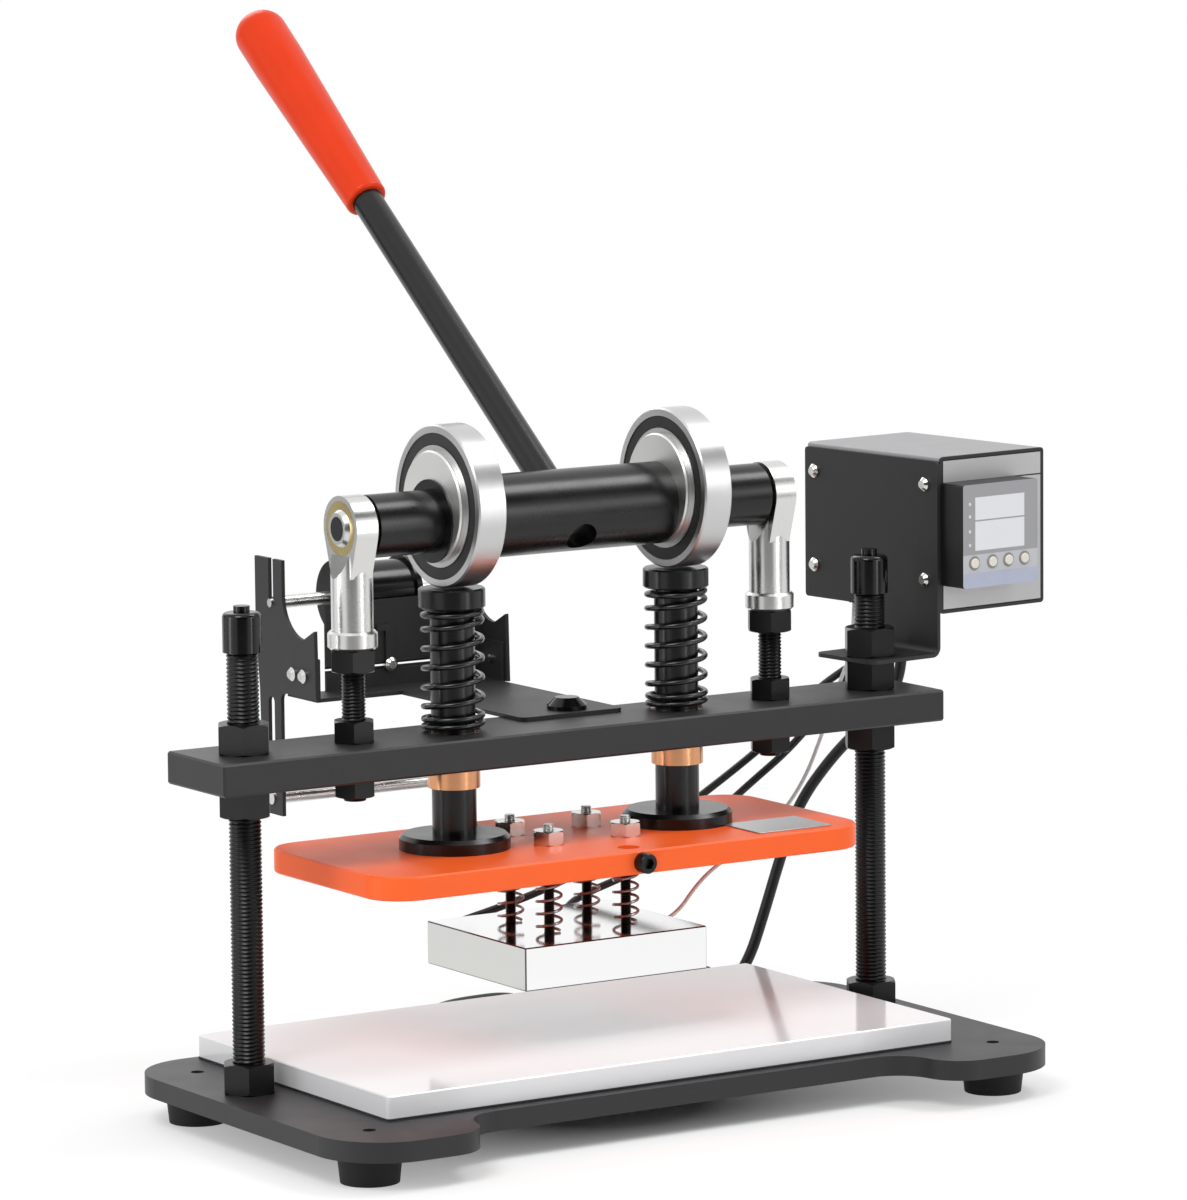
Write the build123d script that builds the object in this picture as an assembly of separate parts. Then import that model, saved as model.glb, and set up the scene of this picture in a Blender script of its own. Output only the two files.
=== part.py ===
# Heated leather cutting press with a cam lever, a sprung heater block and a temperature controller.
# Millimetres. +Z is up, X runs along the long side and +Y points to the back.
# The origin lies on the ground, in the middle of the four holes through the feet.
from build123d import *
import os
from math import cos, pi, radians, sin, sqrt, tan

os.makedirs("parts", exist_ok=True)

# Clearances
thread_gap = 0.05
running_gap = 0.05
slip_gap = 0.3
end_play = 0.1

# Base plate, its feet and the white work board
base_length = 414.0
base_depth = 231.5
base_thickness = 10.0
base_corner = 35.5
recess_depth = 35.5
recess_half_length = 110.0
lobe_start = 152.0
foot_radius = 15.8
foot_height = 14.6
foot_taper = 1.6
foot_spacing_x = 362.0
foot_spacing_y = 165.7
foot_hole_radius = 3.3
board_length = 328.4
board_depth = 184.6
board_thickness = 12.0
board_centre_y = 20.3
board_corner = 2.0
board_edge = 0.6

# Posts and cross beam. The posts stand on one line behind the middle of the base.
post_line = 26.6
post_half_span = 183.5
post_radius = 8.0
post_nut_across = 24.0
post_nut_height = 14.8
post_cap_radius = 9.5
post_cap_wall = 1.4
post_cap_top = 259.0
post_cap_grip = 18.0
post_cap_round = 2.5
post_cap_nub_radius = 4.0
post_cap_nub_height = 3.0
beam_length = 420.7
beam_depth = 56.3
beam_thickness = 16.0
beam_bottom = 174.4
beam_edge = 1.0

# Rod ends on threaded studs, which carry the cam shaft
shaft_height = 295.0
stud_half_span = 122.0
stud_radius = 6.0
stud_nut_across = 19.0
stud_nut_height = 10.8
stud_tail = 2.0
stud_end_gap = 2.0
lock_nut_across = 21.0
lock_nut_height = 11.0
collar_radius = 12.3
collar_height = 9.0
collar_edge = 1.2
collar_below_axis = 59.0
shank_radius = 10.3
shank_thread_depth = 28.0
eye_radius = 16.0
eye_width = 12.0
eye_neck_below_axis = 24.0
eye_neck_rise = 11.0
cheek_angle = 20.0
cheek_inset = 1.0
liner_radius = 13.5
ball_radius = 11.1
ball_width = 16.0
pin_radius = 6.0

# Cam shaft with two eccentric discs and the bearings that press on the plungers
shaft_radius = 20.5
shaft_core_radius = 15.5
plunger_half_span = 65.5
eccentric_throw = 7.0
eccentric_radius = 27.5
eccentric_width = 22.0
keeper_width = 1.0
bearing_radius = 40.0
bearing_width = 16.0
inner_ring_wall = 2.5
outer_ring_wall = 4.0
bearing_edge = 0.8
seal_depth = 0.4
seal_thickness = 1.2
roller_count = 12
roller_length = 10.0

# Hand lever, leaning back from the vertical at rest
lever_lean = 52.6
lever_swing = 110.0
lever_radius = 8.0
lever_tail = 14.0
grip_start = 235.0
grip_length = 146.0
grip_low_radius = 11.0
grip_high_radius = 14.0
grip_taper_length = 112.0
grip_round = 12.0
grip_low_round = 2.0
grip_roof = 14.0

# Plungers with their bushes and return springs
plunger_radius = 11.0
plunger_cap_radius = 16.5
plunger_cap_height = 10.0
plunger_cap_roof = 4.0
plunger_cap_edge = 0.8
bush_radius = 13.0
bush_below_beam = 11.4
flange_radius = 27.5
flange_height = 7.5
flange_bevel = 2.0
plunger_bolt_radius = 4.0
plunger_bolt_head_radius = 8.0
plunger_bolt_length = 30.0
plunger_bolt_end_gap = 1.0
spring_radius = 14.5
spring_wire = 2.8
spring_open_turns = 5
spring_closed_low = 2.0
spring_closed_high = 1.0
spring_closed_pitch = 3.6

# Orange pressing plate
plate_length = 282.3
plate_depth = 123.0
plate_thickness = 11.7
plate_bottom = 120.9
plate_corner = 20.0
plate_edge = 0.8
shank_bore_radius = 5.5
shank_bore_x = 4.5
shank_bore_y = -49.0
clamp_radius = 3.0
clamp_head_radius = 5.0
clamp_head_height = 6.0
clamp_socket = 5.0
clamp_edge = 0.6

# Heater block, hung on four sprung studs
block_length = 106.2
block_depth = 92.8
block_height = 21.6
block_bottom = 66.4
block_centre_x = -1.1
block_edge = 0.6
guide_half_x = 22.5
guide_half_y = 18.0
guide_radius = 2.75
guide_thread_depth = 12.0
guide_tip = 3.0
guide_nut_across = 14.5
guide_nut_height = 7.0
guide_spring_radius = 6.15
guide_spring_wire = 1.2
guide_spring_turns = 5
heater_radius = 5.0
heater_length = 78.0
heater_half_span = 36.0
heater_lead_radius = 2.0
sensor_radius = 1.6
sensor_length = 9.0
sensor_y = 3.0
sensor_z = 82.0
sensor_lead_radius = 1.0

# Sheet-metal foil holder behind the beam
sheet = 2.0
arm_left = -22.0
arm_right = 38.0
arm_front = 6.0
arm_screw_x = 13.0
arm_screw_y = 20.0
arm_screw_head_radius = 10.0
arm_screw_head_height = 6.0
arm_screw_radius = 4.0
panel_y = 142.5
panel_left = -54.0
panel_right = 40.0
panel_top = 237.0
cross_front = 122.0
holder_left = -73.6
holder_lean = 1.0
tab_back = 152.0
tab_height = 22.0
holder_bottom = 192.0
holder_point_top = 227.0
valley_y = 132.0
valley_z = 221.5
prong_front = 153.0
prong_back = 180.4
prong_top = 260.0
foil_axis_y = 164.25
foil_axis_z = 237.2
foil_journal_radius = 2.2
foil_shaft_radius = 3.3
leg_front = 155.5
leg_back = 175.0
leg_bottom = 128.0
leg_slot_top = 186.0
leg_round = 4.0
leg_flare = 2.0
prong_waist = 222.0
arm_corner = 4.0
journal_proud = 1.0
guide_rod_z = 136.0
guide_rod_radius = 3.0
spool_left = -36.0
spool_right = 6.0
spool_flange_radius = 19.0
spool_flange_width = 3.0
spool_core_radius = 17.0
tab_screw_y = (131.7, 142.5)
tab_screw_z = 203.0
small_screw_radius = 2.0
small_head_radius = 3.6
small_head_height = 2.6
holder_screw_length = 5.0
bracket_screw_length = 6.0
clip_x = -17.0
clip_width = 5.0
clip_thickness = 1.5
clip_low = 201.0
clip_high = 224.0

# Temperature controller on its bent bracket, turned a little about the vertical
controller_turn = 6.06
controller_x = 217.4
controller_y = -14.8
housing_width = 71.3
housing_depth = 103.6
housing_bottom = 227.2
housing_height = 80.6
housing_wall = 1.5
housing_round = 2.0
front_panel_thickness = 2.0
bezel_left = 1.0
bezel_width = 51.0
bezel_bottom = 241.5
bezel_height = 53.0
bezel_depth = 16.5
bezel_round = 1.5
instrument_depth = 70.0
instrument_side = 44.5
window_left = 9.2
window_width = 33.7
window_heights = ((276.2, 287.8), (260.5, 275.4))
window_thickness = 1.0
button_x = (8.5, 20.8, 31.8, 42.8)
button_z = 254.2
button_radius = 2.6
button_proud = 1.3
button_travel = 0.8
button_depth = 3.0
button_round = 0.6
bracket_width = 46.0
bracket_bend = 3.0
bracket_flange = 46.0
bracket_top = 305.6
bracket_corner = 6.0
bracket_leg_rise = 20.0
bracket_plate_round = 2.0
bracket_screw_y = (9.4, 95.8)
bracket_screw_z = (244.3, 293.4)
grommet_wall = 2.0
grommet_height = 5.0
grommet_groove = 1.0
grommet_y = 76.0
sensor_grommet_x = 8.0
lead_grommet_x = (17.0, 26.0)
lead_rise = 20.0

# Mains cord, wound into a flat coil behind the base, with its plug
cord_radius = 3.0
gland_x = 44.0
gland_y = 80.0
gland_length = 26.0
gland_top_radius = 7.5
gland_low_radius = 4.2
gland_neck = 5.7
gland_shoulder = 1.5
gland_taper_end = 18.0
gland_collar_start = 20.0
coil_centre = (60.0, 150.0)
coil_least_radius = 24.5
coil_turns = 2.75
coil_gap = 0.8
tie_width = 8.0
tie_thickness = 0.8
tie_gap = 0.4
floor_gap = 0.1
plug_length = 34.0
plug_width = 26.0
plug_height = 20.0
plug_collar_radius = 5.5
plug_collar_length = 12.0
plug_taper_length = 8.0
plug_neck_width = 16.0
plug_neck_height = 14.4
plug_round = 5.0
blade_width = 6.3
blade_thickness = 1.5
blade_length = 17.0
blade_spacing = 12.7
earth_pin_radius = 2.4
earth_pin_length = 20.0
earth_pin_offset = 8.0
blade_offset = -4.0

# Heights and places that follow from the sizes above
base_top = foot_height + base_thickness
beam_top = beam_bottom + beam_thickness
plate_top = plate_bottom + plate_thickness
block_top = block_bottom + block_height
eccentric_height = shaft_height + eccentric_throw
plunger_top = eccentric_height - bearing_radius - slip_gap
plunger_cap_bottom = plunger_top - plunger_cap_height
collar_bottom = shaft_height - collar_below_axis
eccentric_inner = plunger_half_span - eccentric_width / 2
eccentric_outer = plunger_half_span + eccentric_width / 2
shaft_end = stud_half_span - ball_width / 2 - end_play
pin_end = stud_half_span + ball_width / 2
flange_z = beam_top + post_nut_height
second_nut_z = flange_z + sheet
housing_top = housing_bottom + housing_height
arm_top = beam_top + sheet
race_low = eccentric_radius + inner_ring_wall
race_high = bearing_radius - outer_ring_wall
roller_radius = (race_high - race_low) / 2 - running_gap
full_swing = radians(lever_swing)
press_stroke = eccentric_throw * (1 - cos(full_swing))
seat = (Align.CENTER, Align.CENTER, Align.MIN)
both_sides = (-1, 1)


def upright(radius, low, high, x=0.0, y=0.0):
    """A round bar standing from one height to another."""
    return Pos(x, y, low) * Cylinder(radius, high - low, align=seat)


def crosswise(radius, left, right, y, z):
    """A round bar along X."""
    return Pos(left, y, z) * Rot(0, 90, 0) * Cylinder(radius, right - left, align=seat)


def lengthwise(radius, front, back, x, z):
    """A round bar along Y."""
    return Pos(x, front, z) * Rot(-90, 0, 0) * Cylinder(radius, back - front, align=seat)


def block(x, y, z):
    """A box between two X values, two Y values and two Z values."""
    size = (x[1] - x[0], y[1] - y[0], z[1] - z[0])
    return Pos(x[0], y[0], z[0]) * Box(*size, align=(Align.MIN, Align.MIN, Align.MIN))


def turned(*points):
    """A solid of revolution about Z from points given as radius and height."""
    return revolve(Plane.XZ * make_face(Polyline(*points, close=True)), Axis.Z)


def hex_nut(across, height, thread, low, x=0.0, y=0.0):
    """A hexagon nut with its corners rounded off by a cone at both ends."""
    prism = extrude(RegularPolygon(across / 2, 6, major_radius=False), height)
    corner = across / sqrt(3)
    drop = (corner - across / 2) * tan(radians(30))
    rounding = turned(
        (0, 0),
        (across / 2, 0),
        (corner, drop),
        (corner, height - drop),
        (across / 2, height),
        (0, height),
    )
    nut = prism & rounding
    nut -= upright(thread + thread_gap, 0, height)
    return Pos(x, y, low) * nut


def button_screw(head_radius, head_height, radius, length):
    """A screw along Z with a low domed head above zero and its shank below."""
    dome = head_radius * 0.4
    head = turned(
        (0, 0),
        (head_radius, 0),
        (head_radius, head_height - dome),
        (head_radius - dome, head_height),
        (0, head_height),
    )
    return head + upright(radius, -length, 0)


def save(name, *solids):
    """Writes one node, with everything except the base placed from the post line."""
    placed = [Pos(0, post_line, 0) * solid for solid in solids]
    whole = placed[0] if len(placed) == 1 else Compound(children=placed)
    export_step(whole, f"parts/{name}.step")


def tube_radii(points):
    """The arc radius at each corner of a cord's route, as large as its two runs allow."""
    radii = []
    for before, corner, after in zip(points, points[1:], points[2:]):
        incoming = Vector(*corner) - Vector(*before)
        outgoing = Vector(*after) - Vector(*corner)
        half_turn = radians(incoming.get_angle(outgoing)) / 2
        radii.append(0.45 * min(incoming.length, outgoing.length) / tan(half_turn))
    return radii


def cord_tube(name, points, radius):
    """A round cord along straight runs joined by tangent arcs, and its length."""
    radii = tube_radii(points)
    path = FilletPolyline(*points, radius=radii)
    profile = Plane(origin=path @ 0, z_dir=path % 0) * Circle(radius)
    tube = sweep(profile, path=path)
    ratio = tube.volume / (pi * radius**2 * path.length)
    print(name, "radii", [round(value, 1) for value in radii])
    print(name, "length", round(path.length, 1), "volume ratio", round(ratio, 4))
    return tube


def arc_pair(start, start_way, end, end_way):
    """Two arcs that leave and arrive along the given directions."""
    chord = end - start
    ways = start_way + end_way
    along = chord.dot(ways)
    spread = 2 * (1 - start_way.dot(end_way))
    reach = (sqrt(along**2 + spread * chord.dot(chord)) - along) / spread
    middle = (start + end + (start_way - end_way) * reach) / 2
    first = Edge.make_tangent_arc(start, start_way, middle)
    second = Edge.make_tangent_arc(middle, first % 1, end)
    return [first, second]


def wound_tube(name, place, turns, wire_radius, lead):
    """A wire wound about Z by half turns. place gives radius and height at a turn count."""
    step = 0.001

    def point(turn):
        radius, height = place(turn)
        return Vector(radius * cos(2 * pi * turn), radius * sin(2 * pi * turn), height)

    def way(turn):
        return (point(turn + step) - point(turn - step)).normalized()

    edges = []
    for low, high in zip(turns, turns[1:]):
        edges += arc_pair(point(low), way(low), point(high), way(high))
    if lead:
        first, last = edges[0], edges[-1]
        edges.insert(0, Edge.make_line(first @ 0 - (first % 0) * lead, first @ 0))
        edges.append(Edge.make_line(last @ 1, last @ 1 + (last % 1) * lead))
    path = Wire(edges)
    profile = Plane(origin=path @ 0, z_dir=path % 0) * Circle(wire_radius)
    tube = sweep(profile, path=path)
    samples = int((turns[-1] - turns[0]) * 24)
    centres = [path @ (index / samples) for index in range(samples + 1)]
    apart = 12
    least = min(
        (centres[index] - other).length
        for index in range(samples + 1)
        for other in centres[index + apart :]
    )
    print(name, "least gap", round(least - 2 * wire_radius, 2), "length", round(path.length, 1))
    return tube


def base_outline():
    """Half of the base plate's outline, mirrored: two front lobes joined by smooth curves."""
    half = base_length / 2
    front = -base_depth / 2
    back = base_depth / 2
    recess = front + recess_depth
    middle = ((recess_half_length + lobe_start) / 2, (front + recess) / 2)
    with BuildSketch() as outline:
        with BuildLine():
            Line((0, recess), (recess_half_length, recess))
            TangentArc((recess_half_length, recess), middle, tangent=(1, 0))
            TangentArc((lobe_start, front), middle, tangent=(-1, 0))
            Line((lobe_start, front), (half - base_corner, front))
            TangentArc((half - base_corner, front), (half, front + base_corner), tangent=(1, 0))
            Line((half, front + base_corner), (half, back - base_corner))
            TangentArc((half, back - base_corner), (half - base_corner, back), tangent=(0, 1))
            Line((half - base_corner, back), (0, back))
            mirror(about=Plane.YZ)
        make_face()
    return outline.sketch


def base_parts():
    """The plate with its lobes, the feet and the board."""
    to_post_line = Pos(0, -post_line, 0)
    plate = Pos(0, 0, foot_height) * extrude(base_outline(), base_thickness)
    foot_places = [
        (side * foot_spacing_x / 2, end * foot_spacing_y / 2)
        for side in both_sides
        for end in both_sides
    ]
    feet = []
    for x, y in foot_places:
        plate -= upright(foot_hole_radius, 0, base_top, x, y)
        foot = turned(
            (foot_hole_radius, 0),
            (foot_radius - foot_taper, 0),
            (foot_radius, foot_height),
            (foot_hole_radius, foot_height),
        )
        feet.append(to_post_line * Pos(x, y, 0) * foot)
    plate = to_post_line * plate
    for side in both_sides:
        plate -= upright(post_radius + thread_gap, 0, base_top, side * post_half_span)
    board = extrude(RectangleRounded(board_length, board_depth, board_corner), board_thickness)
    board = chamfer(board.edges().group_by(Axis.Z)[-1], board_edge)
    board_place = Pos(0, board_centre_y - post_line, 0)
    save("base_plate", plate)
    save("rubber_feet", *feet)
    save("work_board", board_place * Pos(0, 0, base_top) * board)


def frame_parts():
    """Posts, nuts, caps and the cross beam."""
    beam = extrude(Rectangle(beam_length, beam_depth), beam_thickness)
    beam = chamfer(beam.edges(), beam_edge)
    beam = Pos(0, 0, beam_bottom) * beam
    posts = []
    nuts = []
    caps = []
    for side in both_sides:
        x = side * post_half_span
        rod_top = post_cap_top - post_cap_wall - slip_gap
        posts.append(upright(post_radius, foot_height, rod_top, x))
        beam -= upright(post_radius + slip_gap, beam_bottom, beam_top, x)
        beam -= upright(stud_radius + slip_gap, beam_bottom, beam_top, side * stud_half_span)
        beam -= upright(bush_radius + thread_gap, beam_bottom, beam_top, side * plunger_half_span)
        for low in (base_top, beam_bottom - post_nut_height, beam_top):
            nuts.append(hex_nut(post_nut_across, post_nut_height, post_radius, low, x))
        low = post_cap_top - post_cap_grip - post_cap_wall
        cap = upright(post_cap_radius, low, post_cap_top)
        cap = fillet(cap.edges().group_by(Axis.Z)[-1], post_cap_round)
        cap += upright(post_cap_nub_radius, post_cap_top, post_cap_top + post_cap_nub_height)
        cap -= upright(post_radius + thread_gap, low, rod_top)
        caps.append(Pos(x, 0, 0) * cap)
    nuts.append(
        hex_nut(post_nut_across, post_nut_height, post_radius, second_nut_z, post_half_span)
    )
    beam -= upright(arm_screw_radius + thread_gap, beam_bottom, beam_top, arm_screw_x, arm_screw_y)
    save("cross_beam", beam)
    save("posts", *posts)
    save("post_nuts", *nuts)
    save("post_caps", *caps)


def rod_end_body():
    """A female rod end: collar, round shank and a flat eye that the shank tapers into."""
    top = shaft_height
    neck = top - eye_neck_below_axis
    shank = upright(shank_radius, collar_bottom + collar_height, top - eye_radius / 2)
    envelope = Plane.XZ * make_face(
        Polyline(
            (-shank_radius, collar_bottom),
            (shank_radius, collar_bottom),
            (shank_radius, neck),
            (eye_width / 2, neck + eye_neck_rise),
            (eye_width / 2, top),
            (-eye_width / 2, top),
            (-eye_width / 2, neck + eye_neck_rise),
            (-shank_radius, neck),
            close=True,
        )
    )
    shank &= extrude(envelope, shank_radius, both=True)
    collar = upright(collar_radius, collar_bottom, collar_bottom + collar_height)
    collar = chamfer(collar.edges().filter_by(GeomType.CIRCLE), collar_edge)
    eye = crosswise(eye_radius, -eye_width / 2, eye_width / 2, 0, top)
    cheek_y = eye_radius * cos(radians(cheek_angle))
    cheek_z = top - eye_radius * sin(radians(cheek_angle))
    cheek = Plane.YZ * make_face(
        Polyline(
            (-shank_radius + cheek_inset, neck),
            (shank_radius - cheek_inset, neck),
            (cheek_y, cheek_z),
            (-cheek_y, cheek_z),
            close=True,
        )
    )
    eye += extrude(cheek, eye_width / 2, both=True) & extrude(envelope, eye_radius, both=True)
    body = shank + collar + eye
    body -= crosswise(liner_radius + thread_gap, -eye_width, eye_width, 0, top)
    thread_top = collar_bottom + shank_thread_depth
    body -= upright(stud_radius + thread_gap, collar_bottom, thread_top)
    return body


def shaft_carrier_parts():
    """Studs, nuts, rod ends with their balls and liners."""
    bodies = []
    liners = []
    balls = []
    studs = []
    nuts = []
    stud_low = beam_bottom - stud_nut_height - stud_tail
    stud_high = collar_bottom + shank_thread_depth - stud_end_gap
    for side in both_sides:
        x = side * stud_half_span
        place = Pos(x, 0, 0)
        bodies.append(place * rod_end_body())
        ball_space = Pos(0, 0, shaft_height) * Sphere(ball_radius + running_gap)
        liner = crosswise(liner_radius, -eye_width / 2, eye_width / 2, 0, shaft_height)
        liners.append(place * (liner - ball_space))
        half = ball_width / 2
        ball = Pos(0, 0, shaft_height) * Sphere(ball_radius)
        ball &= crosswise(ball_radius, -half, half, 0, shaft_height)
        ball -= crosswise(pin_radius, -half, half, 0, shaft_height)
        balls.append(place * ball)
        studs.append(upright(stud_radius, stud_low, stud_high, x))
        for low in (beam_top, beam_bottom - stud_nut_height):
            nuts.append(hex_nut(stud_nut_across, stud_nut_height, stud_radius, low, x))
        lock_low = collar_bottom - lock_nut_height
        nuts.append(hex_nut(lock_nut_across, lock_nut_height, stud_radius, lock_low, x))
    save("rod_ends", *bodies)
    save("rod_end_liners", *liners)
    save("rod_end_balls", *balls)
    save("bearing_studs", *studs)
    save("stud_nuts", *nuts)


def ring(outer, inner, left, right, height, edge=0.0):
    """A ring along X about the post line at the given height, with chamfered outer edges."""
    body = crosswise(outer, left, right, 0, height)
    if edge:
        body = chamfer(body.edges().filter_by(GeomType.CIRCLE), edge)
    return body - crosswise(inner, left, right, 0, height)


def cam_parts():
    """The shaft with its lever hole, the eccentric discs and the two bearings."""
    shaft = crosswise(shaft_core_radius, -shaft_end, shaft_end, 0, shaft_height)
    shaft += crosswise(shaft_radius, -eccentric_inner, eccentric_inner, 0, shaft_height)
    shaft += crosswise(pin_radius - running_gap, -pin_end, pin_end, 0, shaft_height)
    lever_hole = upright(lever_radius + thread_gap, -shaft_radius, shaft_radius)
    shaft -= Pos(0, 0, shaft_height) * Rot(-lever_lean, 0, 0) * lever_hole
    keepers = []
    discs = []
    inner_rings = []
    for side in both_sides:
        word = "left" if side < 0 else "right"
        middle = side * plunger_half_span

        def span(width):
            return (middle - width / 2, middle + width / 2)

        left, right = span(eccentric_width)
        disc = crosswise(eccentric_radius, left, right, 0, eccentric_height)
        disc = chamfer(disc.edges().filter_by(GeomType.CIRCLE), bearing_edge)
        bore = crosswise(shaft_core_radius + thread_gap, left, right, 0, shaft_height)
        discs.append(disc - bore)
        keeper_left = min(side * eccentric_outer, side * (eccentric_outer + keeper_width))
        keepers.append(
            ring(
                shaft_radius,
                shaft_core_radius + thread_gap,
                keeper_left,
                keeper_left + keeper_width,
                shaft_height,
            )
        )
        left, right = span(bearing_width)
        inner_bore = eccentric_radius + thread_gap
        inner = ring(race_low, inner_bore, left, right, eccentric_height)
        outer = ring(bearing_radius, race_high, left, right, eccentric_height, bearing_edge)
        seals = []
        for face, inward in ((left + seal_depth, 1), (right - seal_depth, -1)):
            start = min(face, face + inward * seal_thickness)
            seals.append(
                ring(
                    race_high - thread_gap,
                    race_low + slip_gap,
                    start,
                    start + seal_thickness,
                    eccentric_height,
                )
            )
        left, right = span(roller_length)
        rollers = []
        for index in range(roller_count):
            angle = 2 * pi * (index + 0.5) / roller_count
            pitch = (race_low + race_high) / 2
            y = pitch * sin(angle)
            z = eccentric_height + pitch * cos(angle)
            rollers.append(crosswise(roller_radius, left, right, y, z))
        inner_rings.append(inner)
        save(f"bearing_outer_ring_{word}", outer)
        save(f"bearing_seals_{word}", *seals)
        save(f"bearing_rollers_{word}", *rollers)
    save("cam_shaft", shaft, *keepers)
    save("eccentric_discs", *discs)
    save("bearing_inner_rings", *inner_rings)


def lever_parts():
    """The rod through the shaft and its grip, leaning back from the vertical."""
    place = Pos(0, 0, shaft_height) * Rot(-lever_lean, 0, 0)
    grip_end = grip_start + grip_length
    rod_end = grip_end - grip_roof
    rod = upright(lever_radius, -lever_tail, rod_end - slip_gap)
    grip = turned(
        (0, grip_start),
        (grip_low_radius, grip_start),
        (grip_high_radius, grip_start + grip_taper_length),
        (grip_high_radius, grip_end),
        (0, grip_end),
    )
    grip = fillet(grip.edges().group_by(Axis.Z)[-1], grip_round)
    grip = fillet(grip.edges().group_by(Axis.Z)[0], grip_low_round)
    grip -= upright(lever_radius + thread_gap, grip_start, rod_end)
    save("lever_rod", place * rod)
    save("lever_grip", place * grip)


def plunger_parts():
    """Rods with caps, bushes, flanges, bolts and return springs."""
    rods = []
    caps = []
    bushes = []
    flanges = []
    bolts = []
    springs = []
    bolt_low = plate_bottom
    cone = plunger_bolt_head_radius - plunger_bolt_radius
    low = beam_top + spring_wire / 2 + thread_gap
    high = plunger_cap_bottom - spring_wire / 2 - thread_gap
    closed = (spring_closed_low + spring_closed_high) * spring_closed_pitch
    open_pitch = (high - low - closed) / spring_open_turns

    def spring_place(turn):
        closed_low = min(turn, spring_closed_low)
        open_part = min(max(turn - spring_closed_low, 0), spring_open_turns)
        closed_high = max(turn - spring_closed_low - spring_open_turns, 0)
        rise = (closed_low + closed_high) * spring_closed_pitch + open_part * open_pitch
        return spring_radius, low + rise

    half_turns = int(2 * (spring_closed_low + spring_open_turns + spring_closed_high))
    turns = [half / 2 for half in range(half_turns + 1)]
    spring = wound_tube("plunger spring", spring_place, turns, spring_wire / 2, 0)
    rod_top = plunger_top - plunger_cap_roof - slip_gap
    for side in both_sides:
        x = side * plunger_half_span
        rod = upright(plunger_radius, plate_top, rod_top, x)
        bolt_top = bolt_low + plunger_bolt_length
        rod -= upright(plunger_bolt_radius + thread_gap, plate_top, bolt_top + plunger_bolt_end_gap, x)
        rods.append(rod)
        cap = upright(plunger_cap_radius, plunger_cap_bottom, plunger_top)
        cap = chamfer(cap.edges().filter_by(GeomType.CIRCLE), plunger_cap_edge)
        cap -= upright(plunger_radius + thread_gap, plunger_cap_bottom, rod_top + slip_gap)
        caps.append(Pos(x, 0, 0) * cap)
        bush = upright(bush_radius, beam_bottom - bush_below_beam, beam_top, x)
        bushes.append(bush - upright(plunger_radius + running_gap, 0, beam_top, x))
        flange = turned(
            (plunger_radius + thread_gap, 0),
            (flange_radius, 0),
            (flange_radius, flange_height - flange_bevel),
            (flange_radius - flange_bevel, flange_height),
            (plunger_radius + thread_gap, flange_height),
        )
        flanges.append(Pos(x, 0, plate_top) * flange)
        bolt = turned(
            (0, 0),
            (plunger_bolt_head_radius, 0),
            (plunger_bolt_radius, cone),
            (plunger_bolt_radius, plunger_bolt_length),
            (0, plunger_bolt_length),
        )
        bolts.append(Pos(x, 0, bolt_low) * bolt)
        springs.append(Pos(x, 0, 0) * spring)
    save("plungers", *rods, *flanges, *caps)
    save("plunger_bushes", *bushes)
    save("plunger_springs", *springs)
    return bolts


def guide_places():
    """The four studs that carry the heater block."""
    return [(i * guide_half_x, j * guide_half_y) for i in both_sides for j in both_sides]


def plate_parts(bolts):
    """The pressing plate with its clamp screw, and the bolts that hold the plungers."""
    plate = extrude(RectangleRounded(plate_length, plate_depth, plate_corner), plate_thickness)
    plate = chamfer(plate.edges().group_by(Axis.Z)[-1] + plate.edges().group_by(Axis.Z)[0], plate_edge)
    plate = Pos(0, 0, plate_bottom) * plate
    for x, y in guide_places():
        plate -= upright(guide_radius + slip_gap, plate_bottom, plate_top, x, y)
    for side in both_sides:
        x = side * plunger_half_span
        plate -= upright(plunger_bolt_radius + slip_gap, plate_bottom, plate_top, x)
        cone = plunger_bolt_head_radius - plunger_bolt_radius
        sink = turned(
            (0, 0),
            (plunger_bolt_head_radius + thread_gap, 0),
            (plunger_bolt_radius + thread_gap, cone),
            (0, cone),
        )
        plate -= Pos(x, 0, plate_bottom) * sink
    plate -= upright(shank_bore_radius, plate_bottom, plate_top, shank_bore_x, shank_bore_y)
    front = -plate_depth / 2
    middle = plate_bottom + plate_thickness / 2
    plate -= lengthwise(clamp_radius + thread_gap, front, shank_bore_y, shank_bore_x, middle)
    tip = shank_bore_y - shank_bore_radius - slip_gap
    screw = lengthwise(clamp_radius, front, tip, shank_bore_x, middle)
    head_front = front - clamp_head_height
    head = lengthwise(clamp_head_radius, head_front, front, shank_bore_x, middle)
    head = chamfer(head.edges().group_by(Axis.Y)[0], clamp_edge)
    socket = extrude(RegularPolygon(clamp_socket / 2, 6, major_radius=False), clamp_head_height / 2)
    head -= Pos(shank_bore_x, head_front, middle) * Rot(-90, 0, 0) * socket
    save("pressing_plate", plate)
    save("plate_screws", screw + head, *bolts)


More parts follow.
